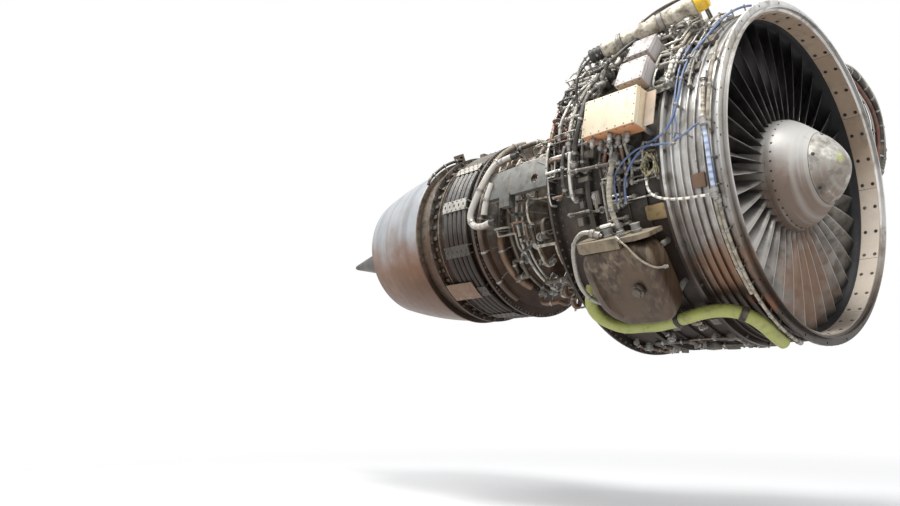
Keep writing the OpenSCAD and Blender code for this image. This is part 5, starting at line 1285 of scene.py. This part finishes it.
line_piece("rear_edge_bar", DARK_BOLT, [
    (-2.245, 24, 0.575), (-2.24, 30, 0.583), (-2.238, 40, 0.598), (-2.236, 50, 0.61), (-2.236, 57, 0.622),
    (-2.236, 61, 0.612)], 0.0095, 0.12, 0.535, False)
# A thin panel that stands up from the beam, with a rib across the beam's face
across = np.linspace(0, 1, 5)
rings = []
for x in np.linspace(-1.61, -1.065, 24):
    top = np.interp(x, [-1.61, -1.47, -1.34, -1.24, -1.14, -1.06], [68, 67.4, 66.1, 66, 68.6, 71])
    edge = top + (71.6 - top) * across
    rings.append(np.concatenate([around(x, edge, 0.600), around(x, edge[::-1], 0.594)]))
piece("beam_top_panel", "casing", BEAM, [shell(np.array(rings))])
piece("beam_rib", "casing", BEAM, [rods(around(-1.243, 68.7, 0.602), around(-1.046, 78.7, 0.602), 0.004)])

# Far side: a harness arch with reddish wraps, carried on posts
ARCH = np.array([(-0.14, -34, 0.795), (-0.07, -35, 0.845), (-0.035, -39, 0.91), (-0.03, -46, 1.0),
                 (-0.03, -53, 1.065), (-0.03, -58, 1.11), (-0.035, -64, 1.125), (-0.045, -69, 1.11),
                 (-0.05, -73, 1.085), (-0.08, -79, 1.02), (-0.11, -83, 0.93), (-0.13, -84, 0.795)])


def arch_line(shift_x, shift_theta, shift_r, first=0, last=None):
    """A run beside the arch's own line: its inner stops moved by a shift, its two ends left on the case."""
    stops = ARCH.copy()
    stops[1:-1] += (shift_x, shift_theta, shift_r)
    stops[[0, -1], 0] += shift_x
    return polar_line(stops[first:last])


piece("far_arch_dark", "casing", BLACK, [
    tube(arch_line(0, 0, -0.03), 0.015, 14), tube(arch_line(-0.035, 0, -0.02), 0.010, 12),
    tube(arch_line(-0.02, 1.5, -0.075), 0.007, 10)])
piece("far_arch_red", "casing", RED, [
    tube(arch_line(-0.012, -1.0, -0.055), 0.012, 12), tube(arch_line(-0.05, 0, -0.05), 0.008, 10)])
piece("far_arch_grey", "casing", GREY_WRAP, [tube(arch_line(-0.028, -2.5, 0.022), 0.024, 18)])
piece("far_arch_bands", "casing", STEEL, [
    bands(arch_line(-0.028, -2.5, 0.022), 0.0245, 0.13, 0.014),
    bands(arch_line(0, 0, -0.03), 0.0155, 0.09, 0.01, 0.05)])
piece("far_arch_metal", "casing", PIPE, [
    tube(arch_line(0.004, 0.5, 0.0), 0.006, 10), tube(arch_line(-0.02, 0, -0.085), 0.005, 10)])
arch_posts = [posts(x, a, POST_FOOT_R, r, 0.007) for x, a, r in [
    (-0.06, -44, 0.955), (-0.06, -56, 1.06), (-0.06, -66, 1.095), (-0.08, -75, 1.05)]]
arch_posts += [rods(around(-0.03, a, r), around(-0.09, a, r), 0.006)
               for a, r in [(-44, 0.95), (-56, 1.055), (-66, 1.09), (-75, 1.045)]]
piece("far_arch_posts", "casing", STEEL, arch_posts)

# Finishes of the solids that stay as they are
for finish, nodes in [
        (SILVER, "fan_case"),
        (PANEL, "inlet_liner_panels"),
        (DARK_BOLT, "panel_bolts"),
        (LINER, "fan_shroud_ring"),
        (DARK, "outer_duct_case fan_frame"),
        (STEEL, "outlet_guide_vanes booster_case booster_vanes hpc_vanes fuel_nozzles bearing_outer_rings "
                "fan_disk booster_rotor lp_shaft hpc_rotor core_shaft radial_drive_shaft "
                "horizontal_drive_shaft vsv_ring_front vsv_ring_rear vsv_rods"),
        (BOLT, "flange_bolts"),
        (HOT_DARK, "hpc_case hpt_case lpt_case"),
        (UNIT, "vsv_actuators starter fuel_control hydraulic_pump"),
        (HOT, "combustion_case combustor_liner hpt_nozzle_ring lpt_vanes turbine_rear_frame lpt_rotor "
              "hpt_rotor"),
        (PIPE, "fuel_manifold power_lever"),
        (NOZZLE, "exhaust_nozzle"),
        (PLUG, "exhaust_plug"),
        (CAST, "transfer_gearbox accessory_gearbox generator"),
        (BEAM, "side_bracket"),
        (SPINNER, "fan_platforms")]:
    for node in nodes.split():
        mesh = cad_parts[node].data
        mesh.materials.clear()
        mesh.materials.append(finish)


# Floor, background and light
def seen_plainly(tree):
    """1 where the camera, a reflection or glass looks, and 0 for light that falls on things."""
    path = add_node(tree, "ShaderNodeLightPath")
    seen = path.outputs["Is Camera Ray"]
    for ray in ("Is Glossy Ray", "Is Transmission Ray"):
        seen = add_node(tree, "ShaderNodeMath", [(0, seen), (1, path.outputs[ray])],
                        operation="MAXIMUM").outputs[0]
    return seen


def floor(height, size, near, far):
    """A pale floor: one flat sheet that takes the object's shadow. What the camera sees of it is mixed with
    plain white: 0.35 of that within the near distance, rising to all of it at the far one."""
    mesh = bpy.data.meshes.new("floor")
    h = size / 2
    corners = [(-h - 1, -h, height), (h - 1, -h, height), (h - 1, h, height), (-h - 1, h, height)]
    mesh.from_pydata(corners, [], [(0, 1, 2, 3)])
    material = bpy.data.materials.new("floor")
    material.use_nodes = True
    tree = material.node_tree
    shader = tree.nodes["Principled BSDF"]
    shader.inputs["Base Color"].default_value = (0.8, 0.8, 0.8, 1)
    shader.inputs["Roughness"].default_value = 0.9
    place = add_node(tree, "ShaderNodeTexCoord").outputs["Object"]
    away = add_node(tree, "ShaderNodeVectorMath", [(0, place), (1, (-1.0, 0.0, height))],
                    operation="DISTANCE")
    fade = add_node(tree, "ShaderNodeMapRange", [
        ("Value", away.outputs["Value"]), ("From Min", near), ("From Max", far), ("To Min", 0.35),
        ("To Max", 1.0)], interpolation_type="SMOOTHSTEP")
    share = add_node(tree, "ShaderNodeMath",
                     [(0, fade.outputs["Result"]), (1, seen_plainly(tree))], operation="MULTIPLY")
    white = add_node(tree, "ShaderNodeEmission")
    mix = add_node(tree, "ShaderNodeMixShader", [
        (0, share.outputs[0]), (1, shader.outputs[0]), (2, white.outputs[0])])
    tree.links.new(mix.outputs[0], tree.nodes["Material Output"].inputs["Surface"])
    mesh.materials.append(material)
    obj = bpy.data.objects.new("floor", mesh)
    bpy.context.scene.collection.objects.link(obj)


def sky(level, tint):
    """World light at a level for the object; white where the camera, a reflection or glass sees it."""
    world = bpy.data.worlds.new("sky")
    bpy.context.scene.world = world
    world.use_nodes = True
    tree = world.node_tree
    tree.nodes.clear()
    light = add_node(tree, "ShaderNodeBackground", [("Color", tint), ("Strength", level)])
    white = add_node(tree, "ShaderNodeBackground", [("Color", (1, 1, 1, 1)), ("Strength", 1.0)])
    mix = add_node(tree, "ShaderNodeMixShader", [
        (0, seen_plainly(tree)), (1, light.outputs[0]), (2, white.outputs[0])])
    add_node(tree, "ShaderNodeOutputWorld", [("Surface", mix.outputs[0])])


def lamp(name, place, aim, size, watts):
    """A square soft lamp that looks from its place at a point."""
    data = bpy.data.lights.new(name, "AREA")
    data.size = size
    data.energy = watts
    obj = bpy.data.objects.new(name, data)
    bpy.context.scene.collection.objects.link(obj)
    obj.location = place
    obj.rotation_mode = "QUATERNION"
    obj.rotation_quaternion = (Vector(aim) - Vector(place)).to_track_quat("-Z", "Y")


bpy.context.scene.view_settings.view_transform = "Standard"
floor(height=-1.75, size=60, near=2.2, far=7.0)
sky(level=0.42, tint=(0.93, 0.96, 1.0, 1))
lamp("key", place=(1.0, -3.0, 6.5), aim=(-0.5, 0, 0), size=2.0, watts=760)
lamp("rear_top", place=(-4.5, -3.0, 5.5), aim=(-1.5, 0, 0), size=3.0, watts=380)
lamp("fill", place=(4.5, -5.0, -0.5), aim=(0, 0, 0), size=3.0, watts=45)

bpy.context.view_layer.update()
